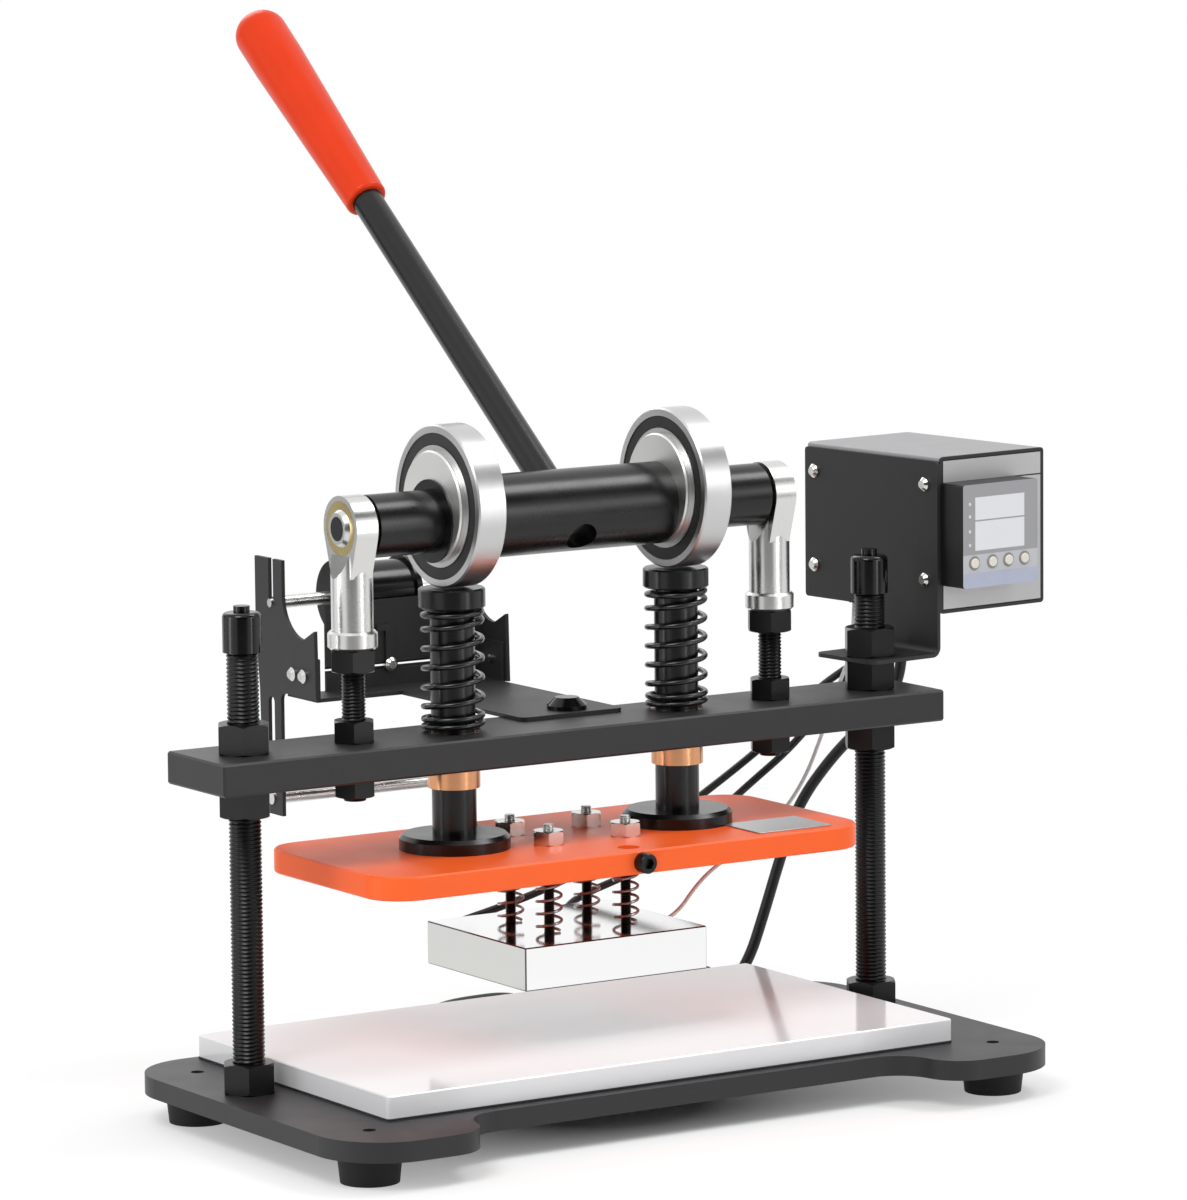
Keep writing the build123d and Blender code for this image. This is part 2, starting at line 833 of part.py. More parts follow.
def heater_parts():
    """The block with its cartridge heaters, sensor, studs, nuts and springs."""
    half = block_depth / 2
    back = half
    right = block_centre_x + block_length / 2
    body = extrude(Rectangle(block_length, block_depth), block_height)
    body = chamfer(body.edges(), block_edge)
    body = Pos(block_centre_x, 0, block_bottom) * body
    middle = block_bottom + block_height / 2
    thread_low = block_top - guide_thread_depth
    studs = []
    nuts = []
    springs = []
    low = block_top + guide_spring_wire / 2 + thread_gap
    high = plate_bottom - guide_spring_wire / 2 - thread_gap
    pitch = (high - low) / guide_spring_turns

    def spring_place(turn):
        return guide_spring_radius, low + turn * pitch

    turns = [half_turn / 2 for half_turn in range(2 * guide_spring_turns + 1)]
    spring = wound_tube("guide spring", spring_place, turns, guide_spring_wire / 2, 0)
    nut_top = plate_top + guide_nut_height
    for x, y in guide_places():
        body -= upright(guide_radius + thread_gap, thread_low, block_top, x, y)
        studs.append(upright(guide_radius, thread_low, nut_top + guide_tip, x, y))
        nuts.append(hex_nut(guide_nut_across, guide_nut_height, guide_radius, plate_top, x, y))
        springs.append(Pos(x, y, 0) * spring)
    heaters = []
    for side in both_sides:
        x = side * heater_half_span
        front = back - heater_length
        body -= lengthwise(heater_radius + thread_gap, front, back, x, middle)
        heaters.append(lengthwise(heater_radius, front + slip_gap, back, x, middle))
    sensor_left = right - sensor_length
    body -= crosswise(sensor_radius + thread_gap, sensor_left, right, sensor_y, sensor_z)
    sensor = crosswise(sensor_radius, sensor_left + slip_gap, right, sensor_y, sensor_z)
    save("heater_block", body)
    save("guide_studs", *studs)
    save("guide_nuts", *nuts)
    save("guide_springs", *springs)
    save("heater_cartridges", *heaters, sensor)


def holder_outline():
    """A foil holder side in the YZ plane: hooked front, slotted prongs and a slotted leg."""
    rise = prong_front - valley_y
    curve_end = (prong_front, valley_z + rise)
    inner_corner = (leg_front, holder_bottom - leg_round)
    leg_start = (leg_front - leg_round, holder_bottom)
    with BuildSketch(Plane.YZ) as outline:
        with BuildLine():
            Polyline(
                (valley_y, valley_z),
                (cross_front - holder_lean, holder_point_top),
                (cross_front - 2 * holder_lean, holder_bottom),
                leg_start,
            )
            RadiusArc(leg_start, inner_corner, leg_round)
            Polyline(
                inner_corner,
                (leg_front, leg_bottom),
                (leg_back, leg_bottom),
                (leg_back + leg_flare, holder_bottom),
                (prong_back, prong_waist),
                (prong_back, prong_top),
                (prong_front, prong_top),
                curve_end,
            )
            TangentArc(curve_end, (valley_y, valley_z), tangent=(0, -1))
        make_face()
    return outline.sketch


def holder_side(left):
    """One side of the foil holder, with the slots for its shaft and its guide rod."""
    side = extrude(holder_outline(), sheet)
    slot = foil_journal_radius + thread_gap
    middle = foil_axis_y
    side -= block((0, sheet), (middle - slot, middle + slot), (foil_axis_z, prong_top))
    side -= crosswise(slot, 0, sheet, middle, foil_axis_z)
    leg_middle = (leg_front + leg_back) / 2
    leg_slot = guide_rod_radius + thread_gap
    span = (leg_middle - leg_slot, leg_middle + leg_slot)
    side -= block((0, sheet), span, (guide_rod_z, leg_slot_top))
    side -= crosswise(leg_slot, 0, sheet, leg_middle, guide_rod_z)
    side -= crosswise(leg_slot, 0, sheet, leg_middle, leg_slot_top)
    for y in tab_screw_y:
        side -= crosswise(small_screw_radius + thread_gap, 0, sheet, y, tab_screw_z)
    return Pos(left, 0, 0) * side


def foil_parts():
    """The bent frame on the beam, two sides, the shaft with its spool and the guide rod."""
    left_inner = holder_left + sheet
    right_inner = panel_right
    arm = block((arm_left, arm_right), (arm_front, panel_y), (beam_top, arm_top))
    arm = fillet(arm.edges().filter_by(Axis.Z).group_by(Axis.Y)[0], arm_corner)
    cross = block((left_inner, right_inner), (cross_front, panel_y + sheet), (beam_top, arm_top))
    panel = block((panel_left, panel_right), (panel_y, panel_y + sheet), (beam_top, panel_top))
    frame = arm + cross + panel
    tab_y = (cross_front, tab_back)
    tab_z = (beam_top, beam_top + tab_height)
    frame += block((left_inner, left_inner + sheet), tab_y, tab_z)
    frame += block((right_inner - sheet, right_inner), tab_y, tab_z)
    for y in tab_screw_y:
        frame -= crosswise(
            small_screw_radius + thread_gap, left_inner, right_inner, y, tab_screw_z
        )
    frame -= upright(arm_screw_radius + slip_gap, beam_top, arm_top, arm_screw_x, arm_screw_y)
    clip_screw_z = clip_low + clip_width / 2
    frame -= lengthwise(
        small_screw_radius + thread_gap, panel_y, panel_y + sheet, clip_x, clip_screw_z
    )
    screw_place = Pos(arm_screw_x, arm_screw_y, arm_top)
    arm_screw = screw_place * button_screw(
        arm_screw_head_radius, arm_screw_head_height, arm_screw_radius, beam_thickness
    )
    clip_front = panel_y - clip_thickness
    clip = block(
        (clip_x - clip_width / 2, clip_x + clip_width / 2),
        (clip_front, panel_y),
        (clip_low, clip_high),
    )
    clip += block(
        (clip_x - 1.5 * clip_width, clip_x + clip_width / 2),
        (clip_front, panel_y),
        (clip_high - clip_thickness * 2, clip_high),
    )
    clip -= lengthwise(small_screw_radius + thread_gap, clip_front, panel_y, clip_x, clip_screw_z)
    screw = button_screw(
        small_head_radius, small_head_height, small_screw_radius, holder_screw_length
    )
    screws = [Pos(clip_x, clip_front, clip_screw_z) * Rot(90, 0, 0) * screw]
    for y in tab_screw_y:
        screws.append(Pos(holder_left, y, tab_screw_z) * Rot(0, -90, 0) * screw)
        screws.append(Pos(right_inner + sheet, y, tab_screw_z) * Rot(0, 90, 0) * screw)
    body_left = left_inner + end_play
    body_right = right_inner - end_play
    shaft = crosswise(foil_shaft_radius, body_left, body_right, foil_axis_y, foil_axis_z)
    journal_left = holder_left - journal_proud
    journal_right = right_inner + sheet + journal_proud
    shaft += crosswise(
        foil_journal_radius, journal_left, journal_right, foil_axis_y, foil_axis_z
    )
    spool_flange = (spool_flange_radius, spool_flange_width)
    spool = crosswise(spool_core_radius, spool_left, spool_right, foil_axis_y, foil_axis_z)
    for start in (spool_left, spool_right - spool_flange[1]):
        spool += crosswise(
            spool_flange[0], start, start + spool_flange[1], foil_axis_y, foil_axis_z
        )
    spool -= crosswise(
        foil_shaft_radius + thread_gap, spool_left, spool_right, foil_axis_y, foil_axis_z
    )
    rod_y = (leg_front + leg_back) / 2
    guide = crosswise(guide_rod_radius, journal_left, journal_right, rod_y, guide_rod_z)
    save("foil_frame", frame)
    save("foil_sides", holder_side(holder_left), holder_side(right_inner))
    save("foil_shaft", shaft)
    save("foil_spool", spool)
    save("foil_guide_rod", guide)
    save("foil_clip", clip)
    save("arm_screw", arm_screw)
    return screws


controller_place = Pos(controller_x, controller_y, 0) * Rot(0, 0, controller_turn)


def controller_point(x, y, z):
    """A point of the turned controller, from the post line."""
    turn = radians(controller_turn)
    return (
        controller_x + x * cos(turn) - y * sin(turn),
        controller_y + x * sin(turn) + y * cos(turn),
        z,
    )


def bracket_body():
    """The bent sheet between the right post and the controller's left side."""
    outer = bracket_bend + sheet
    low = flange_z
    leg_top = housing_bottom + bracket_leg_rise
    with BuildSketch(Plane.XZ) as section:
        with BuildLine():
            Line((-bracket_flange, low), (-outer, low))
            RadiusArc((-outer, low), (0, low + outer), -outer)
            Line((0, low + outer), (0, leg_top))
            Line((0, leg_top), (-sheet, leg_top))
            Line((-sheet, leg_top), (-sheet, low + outer))
            RadiusArc((-sheet, low + outer), (-outer, low + sheet), bracket_bend)
            Line((-outer, low + sheet), (-bracket_flange, low + sheet))
            Line((-bracket_flange, low + sheet), (-bracket_flange, low))
        make_face()
    leg = extrude(section.sketch, -bracket_width)
    flange_corners = leg.edges().filter_by(Axis.Z).group_by(Axis.X)[0]
    leg = fillet(flange_corners, bracket_corner)
    plate = block((-sheet, 0), (0, housing_depth), (housing_bottom, bracket_top))
    plate = fillet(plate.edges().filter_by(Axis.X), bracket_plate_round)
    return leg + plate


def controller_parts(holder_screws):
    """The bracket, the housing with its instrument, four buttons and all the small screws."""
    turn = radians(controller_turn)
    post_dx = post_half_span - controller_x
    post_dy = -controller_y
    hole_x = post_dx * cos(turn) + post_dy * sin(turn)
    hole_y = post_dy * cos(turn) - post_dx * sin(turn)
    bracket = bracket_body()
    bracket -= upright(post_radius + slip_gap, flange_z, second_nut_z, hole_x, hole_y)
    housing = block((0, housing_width), (0, housing_depth), (housing_bottom, housing_top))
    housing = fillet(housing.edges().filter_by(Axis.Y), housing_round)
    wall = housing_wall
    housing -= block(
        (wall, housing_width - wall),
        (0, housing_depth - wall),
        (housing_bottom + wall, housing_top - wall),
    )
    screw = button_screw(
        small_head_radius, small_head_height, small_screw_radius, bracket_screw_length
    )
    screws = list(holder_screws)
    for y in bracket_screw_y:
        for z in bracket_screw_z:
            hole = crosswise(small_screw_radius + thread_gap, -sheet, wall, y, z)
            bracket -= hole
            housing -= hole
            screws.append(controller_place * Pos(-sheet, y, z) * Rot(0, -90, 0) * screw)
    panel = block(
        (wall + thread_gap, housing_width - wall - thread_gap),
        (0, front_panel_thickness),
        (housing_bottom + wall + thread_gap, housing_top - wall - thread_gap),
    )
    middle_x = bezel_left + bezel_width / 2
    middle_z = bezel_bottom + bezel_height / 2
    half = instrument_side / 2
    cut_x = (middle_x - half - slip_gap, middle_x + half + slip_gap)
    cut_z = (middle_z - half - slip_gap, middle_z + half + slip_gap)
    panel -= block(cut_x, (0, front_panel_thickness), cut_z)
    body = block(
        (middle_x - half, middle_x + half),
        (0, instrument_depth),
        (middle_z - half, middle_z + half),
    )
    face = -bezel_depth
    bezel_x = (bezel_left, bezel_left + bezel_width)
    bezel_z = (bezel_bottom, bezel_bottom + bezel_height)
    bezel = block(bezel_x, (face, 0), bezel_z)
    bezel = fillet(bezel.edges().filter_by(Axis.Y), bezel_round)
    windows = []
    window_x = (window_left, window_left + window_width)
    for low, high in window_heights:
        pocket = block(window_x, (face, face + window_thickness), (low, high))
        bezel -= pocket
        windows.append(controller_place * pocket)
    well = button_depth - button_proud + button_travel + slip_gap
    for number, x in enumerate(button_x, start=1):
        bezel -= lengthwise(button_radius + slip_gap / 2, face, face + well, x, button_z)
        front = face - button_proud
        button = lengthwise(button_radius, front, front + button_depth, x, button_z)
        button = fillet(button.edges().group_by(Axis.Y)[0], button_round)
        save(f"button_{number}", controller_place * button)
    floor = housing_bottom + wall
    grommets = []
    places = [(sensor_grommet_x, sensor_lead_radius)]
    places += [(x, heater_lead_radius) for x in lead_grommet_x]
    groove = grommet_groove
    for x, radius in places:
        outer = radius + grommet_wall
        housing -= upright(outer - groove, housing_bottom, floor, x, grommet_y)
        low = housing_bottom - grommet_height / 2 + wall / 2
        body_ring = upright(outer, low, low + grommet_height, x, grommet_y)
        waist = upright(outer + groove, housing_bottom, floor, x, grommet_y)
        waist -= upright(outer - groove - thread_gap, housing_bottom, floor, x, grommet_y)
        body_ring -= waist
        body_ring -= upright(radius + slip_gap, low, low + grommet_height, x, grommet_y)
        grommets.append(controller_place * body_ring)
    housing -= upright(gland_neck + thread_gap, housing_bottom, floor, gland_x, gland_y)
    gland = turned(
        (0, 0),
        (gland_low_radius, 0),
        (gland_top_radius - gland_shoulder, gland_taper_end),
        (gland_top_radius, gland_collar_start),
        (gland_top_radius, gland_length),
        (gland_neck, gland_length),
        (gland_neck, gland_length + wall),
        (0, gland_length + wall),
    )
    gland = Pos(gland_x, gland_y, housing_bottom - gland_length) * gland
    save("controller_bracket", controller_place * bracket)
    save("controller_housing", controller_place * housing)
    save("front_panel", controller_place * panel)
    save("instrument_case", controller_place * (body + bezel))
    save("display_windows", *windows)
    save("small_screws", *screws)
    save("lead_grommets", *grommets)
    save("mains_gland", controller_place * gland)


def lead_parts():
    """The two heater leads and the sensor lead, from the block into the controller."""
    back = block_depth / 2
    middle = block_bottom + block_height / 2
    right = block_centre_x + block_length / 2
    end = housing_bottom + lead_rise
    near = controller_point(lead_grommet_x[0], grommet_y, 0)
    far = controller_point(lead_grommet_x[1], grommet_y, 0)
    thin = controller_point(sensor_grommet_x, grommet_y, 0)
    exit_y = back + 10
    first = [
        (heater_half_span, back, middle),
        (heater_half_span, exit_y, middle),
        (38.5, 65, 78.8),
        (45.5, 71, 82.5),
        (57, 73.5, 86.5),
        (77, 74, 91.5),
        (104, 73.5, 100),
        (128, 73, 113),
        (152, 71, 131),
        (184, 68, 153),
        (206, 65, 178),
        (near[0], near[1], 200),
        (near[0], near[1], end),
    ]
    second = [
        (-heater_half_span, back, middle),
        (-heater_half_span, exit_y, middle),
        (-33.5, 64.5, 77.6),
        (-26.5, 71, 78.4),
        (-15, 74, 80.5),
        (5, 75, 84),
        (36, 75.5, 91),
        (72, 77, 103),
        (112, 80, 118),
        (148, 79, 138),
        (180, 76, 159),
        (201, 73, 181),
        (far[0], far[1], 200),
        (far[0], far[1], end),
    ]
    sensor = [
        (right, sensor_y, sensor_z),
        (right + 12, sensor_y, sensor_z),
        (88, 13, 100),
        (118, 27, 108),
        (150, 44, 114),
        (180, 56, 133),
        (197, 60, 162),
        (206, 60, 184),
        (thin[0], thin[1], 203),
        (thin[0], thin[1], end),
    ]
    front_lead = cord_tube("front heater lead", first, heater_lead_radius)
    back_lead = cord_tube("back heater lead", second, heater_lead_radius)
    save("heater_leads", front_lead, back_lead)
    save("sensor_lead", cord_tube("sensor lead", sensor, sensor_lead_radius))


def plug_body(start):
    """The moulded plug, pointing along X from its collar."""
    x, y, z = start
    collar_end = x + plug_collar_length
    body_end = x + plug_length
    small = Plane((collar_end, y, z), x_dir=(0, 1, 0), z_dir=(1, 0, 0))
    taper_end = collar_end + plug_taper_length
    large = Plane((taper_end, y, z), x_dir=(0, 1, 0), z_dir=(1, 0, 0))
    neck = RectangleRounded(plug_neck_width, plug_neck_height, plug_round)
    full = RectangleRounded(plug_width, plug_height, plug_round)
    taper = loft([small * neck, large * full])
    body = extrude(large * full, body_end - taper_end)
    collar = crosswise(plug_collar_radius, x, collar_end, y, z)
    return body + taper + collar


def mains_cord_parts():
    """The cord from its gland to the floor, its coil, tie and plug."""
    gland_end = controller_point(gland_x, gland_y, housing_bottom - gland_length)
    spread = 2 * cord_radius + coil_gap
    low = cord_radius + tie_thickness + floor_gap
    centre_x, centre_y = coil_centre
    place = Pos(centre_x, centre_y, 0)

    def coil_place(turn):
        share = min(max((turn + 0.25) / 0.5, 0), 1)
        climb = share * share * (3 - 2 * share)
        return coil_least_radius + spread * abs(turn), low + spread * climb

    steps = int(4 * coil_turns)
    turns = [step / 2 + 0.25 for step in range(-steps // 2, steps // 2 + 1)]
    turns = [turn for turn in turns if -coil_turns <= turn <= coil_turns]
    lead = 2 * cord_radius
    coil = wound_tube("mains coil", coil_place, turns, cord_radius, lead)
    coil = place * mirror(coil, about=Plane.XZ)
    ends = [turns[0], turns[-1]]
    entry_y = centre_y - coil_place(ends[0])[0]
    leave_y = centre_y + coil_place(ends[1])[0]
    entry_slope = spread / (2 * pi * coil_place(ends[0])[0])
    entry = (centre_x + lead, entry_y - lead * entry_slope, low)
    leave = (centre_x + lead, leave_y + lead * entry_slope, low + spread)
    down = cord_radius + floor_gap
    feed = [
        gland_end,
        (gland_end[0], gland_end[1], gland_end[2] - 14),
        (249.5, 74.5, 172),
        (242, 86, 157),
        (231, 100, 140),
        (215.5, 112, 113),
        (206, 116, 83),
        (198, 119, 55),
        (189, 122, 27),
        (170, 122.5, down + 6),
        (148, 119, down),
        (124, 113, down + 0.2),
        (96, entry[1] - 30 * entry_slope, low),
        entry,
    ]
    tail = [
        leave,
        (leave[0] + 18, leave[1] + 18 * entry_slope, low + spread),
        (101, 188, down + 1.4),
        (117, 179, down),
        (131, 172.5, 6.5),
        (144, 170, plug_height / 2),
        (157, 170, plug_height / 2),
    ]
    outer = coil_least_radius + spread * coil_turns + cord_radius
    tie_in = coil_least_radius + spread / 2 - cord_radius - tie_gap
    tie_out = outer - spread / 4 + tie_gap
    tie_high = low + spread + cord_radius + tie_gap
    tie = block(
        (-tie_out - tie_thickness, -tie_in + tie_thickness),
        (-tie_width / 2, tie_width / 2),
        (0, tie_high + tie_thickness),
    )
    tie -= block(
        (-tie_out, -tie_in),
        (-tie_width / 2, tie_width / 2),
        (tie_thickness, tie_high),
    )
    plug = plug_body(tail[-1])
    blade_start = tail[-1][0] + plug_length
    plug_y = tail[-1][1]
    plug_z = tail[-1][2]
    pins = []
    for side in both_sides:
        y = plug_y + blade_offset + side * blade_spacing / 2
        pins.append(
            block(
                (blade_start, blade_start + blade_length),
                (y - blade_thickness / 2, y + blade_thickness / 2),
                (plug_z - blade_width / 2, plug_z + blade_width / 2),
            )
        )
    earth_y = plug_y + earth_pin_offset
    earth_end = blade_start + earth_pin_length
    pins.append(crosswise(earth_pin_radius, blade_start, earth_end, earth_y, plug_z))
    save("mains_cord_feed", cord_tube("mains cord feed", feed, cord_radius))
    save("mains_cord_coil", coil)
    save("mains_cord_tail", cord_tube("mains cord tail", tail, cord_radius))
    save("cord_tie", place * tie)
    save("plug_body", plug)
    save("plug_blades", *pins)


base_parts()
frame_parts()
shaft_carrier_parts()
cam_parts()
lever_parts()
plate_parts(plunger_parts())
heater_parts()
controller_parts(foil_parts())
lead_parts()
mains_cord_parts()
print("press stroke", round(press_stroke, 3), "per radian", round(press_stroke / full_swing, 4))
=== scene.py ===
"""Looks of a heated leather cutting press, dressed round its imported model. Metres, +Z up."""

import logging
import math
from dataclasses import dataclass
from enum import Enum
from typing import Any

import bpy
import numpy as np
from mathutils import Matrix, Vector


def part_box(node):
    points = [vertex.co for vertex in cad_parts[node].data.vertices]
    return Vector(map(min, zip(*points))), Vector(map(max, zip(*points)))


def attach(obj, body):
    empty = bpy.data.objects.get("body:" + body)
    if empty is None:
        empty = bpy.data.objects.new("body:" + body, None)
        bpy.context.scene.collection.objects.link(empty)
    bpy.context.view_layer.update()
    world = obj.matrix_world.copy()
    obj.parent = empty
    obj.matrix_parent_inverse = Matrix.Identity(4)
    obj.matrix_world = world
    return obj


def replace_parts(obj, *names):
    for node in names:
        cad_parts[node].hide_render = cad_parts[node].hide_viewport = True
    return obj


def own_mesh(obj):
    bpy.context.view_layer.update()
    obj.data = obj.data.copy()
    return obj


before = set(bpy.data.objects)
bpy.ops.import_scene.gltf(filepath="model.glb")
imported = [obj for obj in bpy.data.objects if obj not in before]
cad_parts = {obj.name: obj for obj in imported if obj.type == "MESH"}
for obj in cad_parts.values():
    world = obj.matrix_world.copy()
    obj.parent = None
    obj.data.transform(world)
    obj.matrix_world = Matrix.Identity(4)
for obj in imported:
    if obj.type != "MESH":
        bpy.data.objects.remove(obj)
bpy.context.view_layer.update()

log = logging.getLogger("press")
Array = np.ndarray
Pair = tuple[float, float]
Point = tuple[float, float, float]
MM = 0.001
POST_LINE = 26.6 * MM
SHAFT_Z = 295.0 * MM
RING_Z = 302.0 * MM
BOX_TURN = math.radians(6.06)
BOX_CORNER = (217.4 * MM, POST_LINE - 14.8 * MM)
LIFT = 0.05 * MM
CHAMFER = 0.2 * MM
SHARP_ANGLE = math.radians(35)
LINE_DETAIL = 2.0
GRAIN_DETAIL = 3.0
PATCH_DETAIL = 4.0
COAT_ROUGHNESS = 0.08
WHITE = (1.0, 1.0, 1.0, 1.0)
AIM = Vector((0.0, 0.0, 0.2))


class Body(Enum):
    """The bodies that the made pieces ride on."""

    ROOT = "root"
    PRESS = "press"
    HEATER = "heater"


def linear(code: str) -> tuple[float, float, float, float]:
    """Turns a colour as it is seen into the linear values that a shader takes.

    Args:
        code: Six hexadecimal digits, red first.

    Returns:
        Red, green, blue and an alpha of one.
    """
    seen = np.array([int(code[start:start + 2], 16) for start in (0, 2, 4)]) / 255
    values = np.where(seen <= 0.04045, seen / 12.92, ((seen + 0.055) / 1.055) ** 2.4)
    return (*values.tolist(), 1.0)


class Shade:
    """A socket of a node tree, on which Python's operators add Math nodes."""

    def __init__(self, recipe: "Recipe", socket: Any) -> None:
        """Keeps the recipe that the socket belongs to."""
        self.recipe = recipe
        self.socket = socket

    def _math(self, operation: str, *values: Any) -> "Shade":
        """Adds one Math node on these values."""
        return self.recipe.node("ShaderNodeMath", {"operation": operation}, list(values))

    def __add__(self, other: Any) -> "Shade":
        """Adds two values."""
        return self._math("ADD", self, other)

    def __radd__(self, other: Any) -> "Shade":
        """Adds two values."""
        return self._math("ADD", other, self)

    def __sub__(self, other: Any) -> "Shade":
        """Takes the other value away."""
        return self._math("SUBTRACT", self, other)

    def __rsub__(self, other: Any) -> "Shade":
        """Takes this value away from the other."""
        return self._math("SUBTRACT", other, self)

    def __mul__(self, other: Any) -> "Shade":
        """Multiplies two values."""
        return self._math("MULTIPLY", self, other)

    def __rmul__(self, other: Any) -> "Shade":
        """Multiplies two values."""
        return self._math("MULTIPLY", other, self)

    def __gt__(self, other: Any) -> "Shade":
        """One where this value is greater, else nought."""
        return self._math("GREATER_THAN", self, other)

    def __lt__(self, other: Any) -> "Shade":
        """One where this value is less, else nought."""
        return self._math("LESS_THAN", self, other)

    def __abs__(self) -> "Shade":
        """The value without its sign."""
        return self._math("ABSOLUTE", self)

    def root(self) -> "Shade":
        """The square root."""
        return self._math("SQRT", self)

    def sine(self) -> "Shade":
        """The sine of the value in radians."""
        return self._math("SINE", self)


class Recipe:
    """The node tree of one material or world, with one method that makes any node."""

    def __init__(self, owner: bpy.types.ID) -> None:
        """Starts an empty tree.

        Args:
            owner: The material or world whose tree it is.
        """
        owner.use_nodes = True
        self.owner = owner
        self.tree = owner.node_tree
        self.tree.nodes.clear()

    def node(
        self, kind: str, settings: dict | None = None, inputs: Any = None, output: Any = 0
    ) -> Shade | None:
        """Makes one node, sets it up and wires it.

        Args:
            kind: The node's type.
            settings: Its own settings, set before its sockets.
            inputs: Values or shades, by socket name or number, or in a list.
            output: The name or number of the socket that is given back.

        Returns:
            The chosen output, or None from a node that has none.
        """
        node = self.tree.nodes.new(kind)
        for key, value in (settings or {}).items():
            setattr(node, key, value)
        pairs = inputs.items() if isinstance(inputs, dict) else enumerate(inputs or [])
        for key, value in pairs:
            if isinstance(value, Shade):
                self.tree.links.new(value.socket, node.inputs[key])
            else:
                node.inputs[key].default_value = value
        return Shade(self, node.outputs[output]) if node.outputs else None

    def place(self) -> Shade:
        """The place on the object, in metres."""
        return self.node("ShaderNodeTexCoord", output="Object")

    def parts(self, vector: Shade) -> tuple[Shade, ...]:
        """The X, Y and Z of a vector."""
        first = self.node("ShaderNodeSeparateXYZ", inputs=[vector])
        return tuple(Shade(self, socket) for socket in first.socket.node.outputs)

    def noise(self, vector: Shade, scale: float, detail: float = GRAIN_DETAIL) -> Shade:
        """Soft noise from nought to one.

        Args:
            vector: Where it is read.
            scale: Its cycles in a metre.
            detail: How many finer layers it has.

        Returns:
            The noise.
        """
        inputs = {"Vector": vector, "Scale": scale, "Detail": detail}
        return self.node("ShaderNodeTexNoise", inputs=inputs)

    def mix(self, share: Any, first: Any, second: Any) -> Shade:
        """A colour between two.

        Args:
            share: Nought for the first colour, one for the second.
            first: A colour's code or values, or a shade.
            second: A colour's code or values, or a shade.

        Returns:
            The mixed colour.
        """
        ends = [linear(end) if isinstance(end, str) else end for end in (first, second)]
        inputs = {0: share, 6: ends[0], 7: ends[1]}
        return self.node("ShaderNodeMix", {"data_type": "RGBA"}, inputs, 2)

    def output(self, shader: Shade) -> None:
        """Shows a shader on the owner's surface."""
        kind = "World" if isinstance(self.owner, bpy.types.World) else "Material"
        self.node(f"ShaderNodeOutput{kind}", inputs={"Surface": shader})


class Surface(Recipe):
    """A piece's material, which knows its X, Y and Z on the piece and broad soft patches."""

    def __init__(self, name: str, patch_scale: float) -> None:
        """Starts the material.

        Args:
            name: Its name.
            patch_scale: The patches' cycles in a metre.
        """
        super().__init__(bpy.data.materials.new(name))
        self.point = self.place()
        self.x, self.y, self.z = self.parts(self.point)
        self.patches = self.noise(self.point, patch_scale, PATCH_DETAIL)

    def lines(self, x: Any, y: Any, z: Any, scale: float) -> Shade:
        """Noise read at a place that is worked out, so that it can run in lines."""
        place = self.node("ShaderNodeCombineXYZ", inputs=[x, y, z])
        return self.noise(place, scale, LINE_DETAIL)

    def distance(self, axis_z: float) -> Shade:
        """How far a place is from an axis along X that crosses the post line."""
        across, along = self.y - POST_LINE, self.z - axis_z
        return (across * across + along * along).root()

    def within(self) -> tuple[Shade, Shade]:
        """How far a place lies along the controller's turned front and into its box.

        Returns:
            The two distances, in metres.
        """
        east, north = self.x - BOX_CORNER[0], self.y - BOX_CORNER[1]
        cosine, sine = math.cos(BOX_TURN), math.sin(BOX_TURN)
        return east * cosine + north * sine, north * cosine - east * sine

    def finish(self, **inputs: Any) -> bpy.types.Material:
        """Adds the Principled shader and the output.

        Args:
            inputs: The shader's sockets, with _ for each space.

        Returns:
            The material.
        """
        named = {key.replace("_", " "): value for key, value in inputs.items()}
        self.output(self.node("ShaderNodeBsdfPrincipled", inputs=named))
        return self.owner


@dataclass(frozen=True)
class Finish:
    """A surface with an even grain, such as powder coat, moulded plastic or rubber.

    The relief is noise at grain_scale, grain deep. The colour darkens by up to mottle in
    broad patches, and the roughness varies by wander in the same patches. The shine is the
    shader's specular level, which is a half for plain plastic.
    """

    colour: str
    roughness: float = 0.5
    metallic: float = 0.0
    coat: float = 0.0
    shine: float = 0.5
    grain: float = 0.00003
    grain_scale: float = 1200.0
    mottle: float = 0.12
    wander: float = 0.12
    patch_scale: float = 45.0

    def relief(self, surface: Surface) -> Shade:
        """The height of the surface, from nought to one."""
        return surface.noise(surface.point, self.grain_scale)

    def tint(self, surface: Surface) -> Shade:
        """The colour, darker in the patches."""
        low = [value * (1 - self.mottle) for value in linear(self.colour)[:3]]
        return surface.mix(surface.patches, (*low, 1.0), self.colour)

    def material(self, name: str) -> bpy.types.Material:
        """Builds the material.

        Args:
            name: The material's name.

        Returns:
            The material.
        """
        surface = Surface(name, self.patch_scale)
        inputs = {"Strength": 1.0, "Distance": self.grain, "Height": self.relief(surface)}
        bump = surface.node("ShaderNodeBump", None, inputs, "Normal")
        rough = self.roughness + (surface.patches - 0.5) * self.wander
        return surface.finish(
            Base_Color=self.tint(surface),
            Roughness=rough,
            Metallic=self.metallic,
            Coat_Weight=self.coat,
            Coat_Roughness=COAT_ROUGHNESS,
            Specular_IOR_Level=self.shine,
            Normal=bump,
        )


@dataclass(frozen=True)
class Turned(Finish):
    """Metal turned or ground about an axis along X: its marks are rings round that axis.

    The relief is noise read at the distance from the axis and at X, so that it is the same
    all the way round.
    """

    axis_z: float = RING_Z

    def relief(self, surface: Surface) -> Shade:
        """The height of the surface, the same all round the axis."""
        radius = surface.distance(self.axis_z)
        return surface.lines(radius, surface.x, 0.0, self.grain_scale)


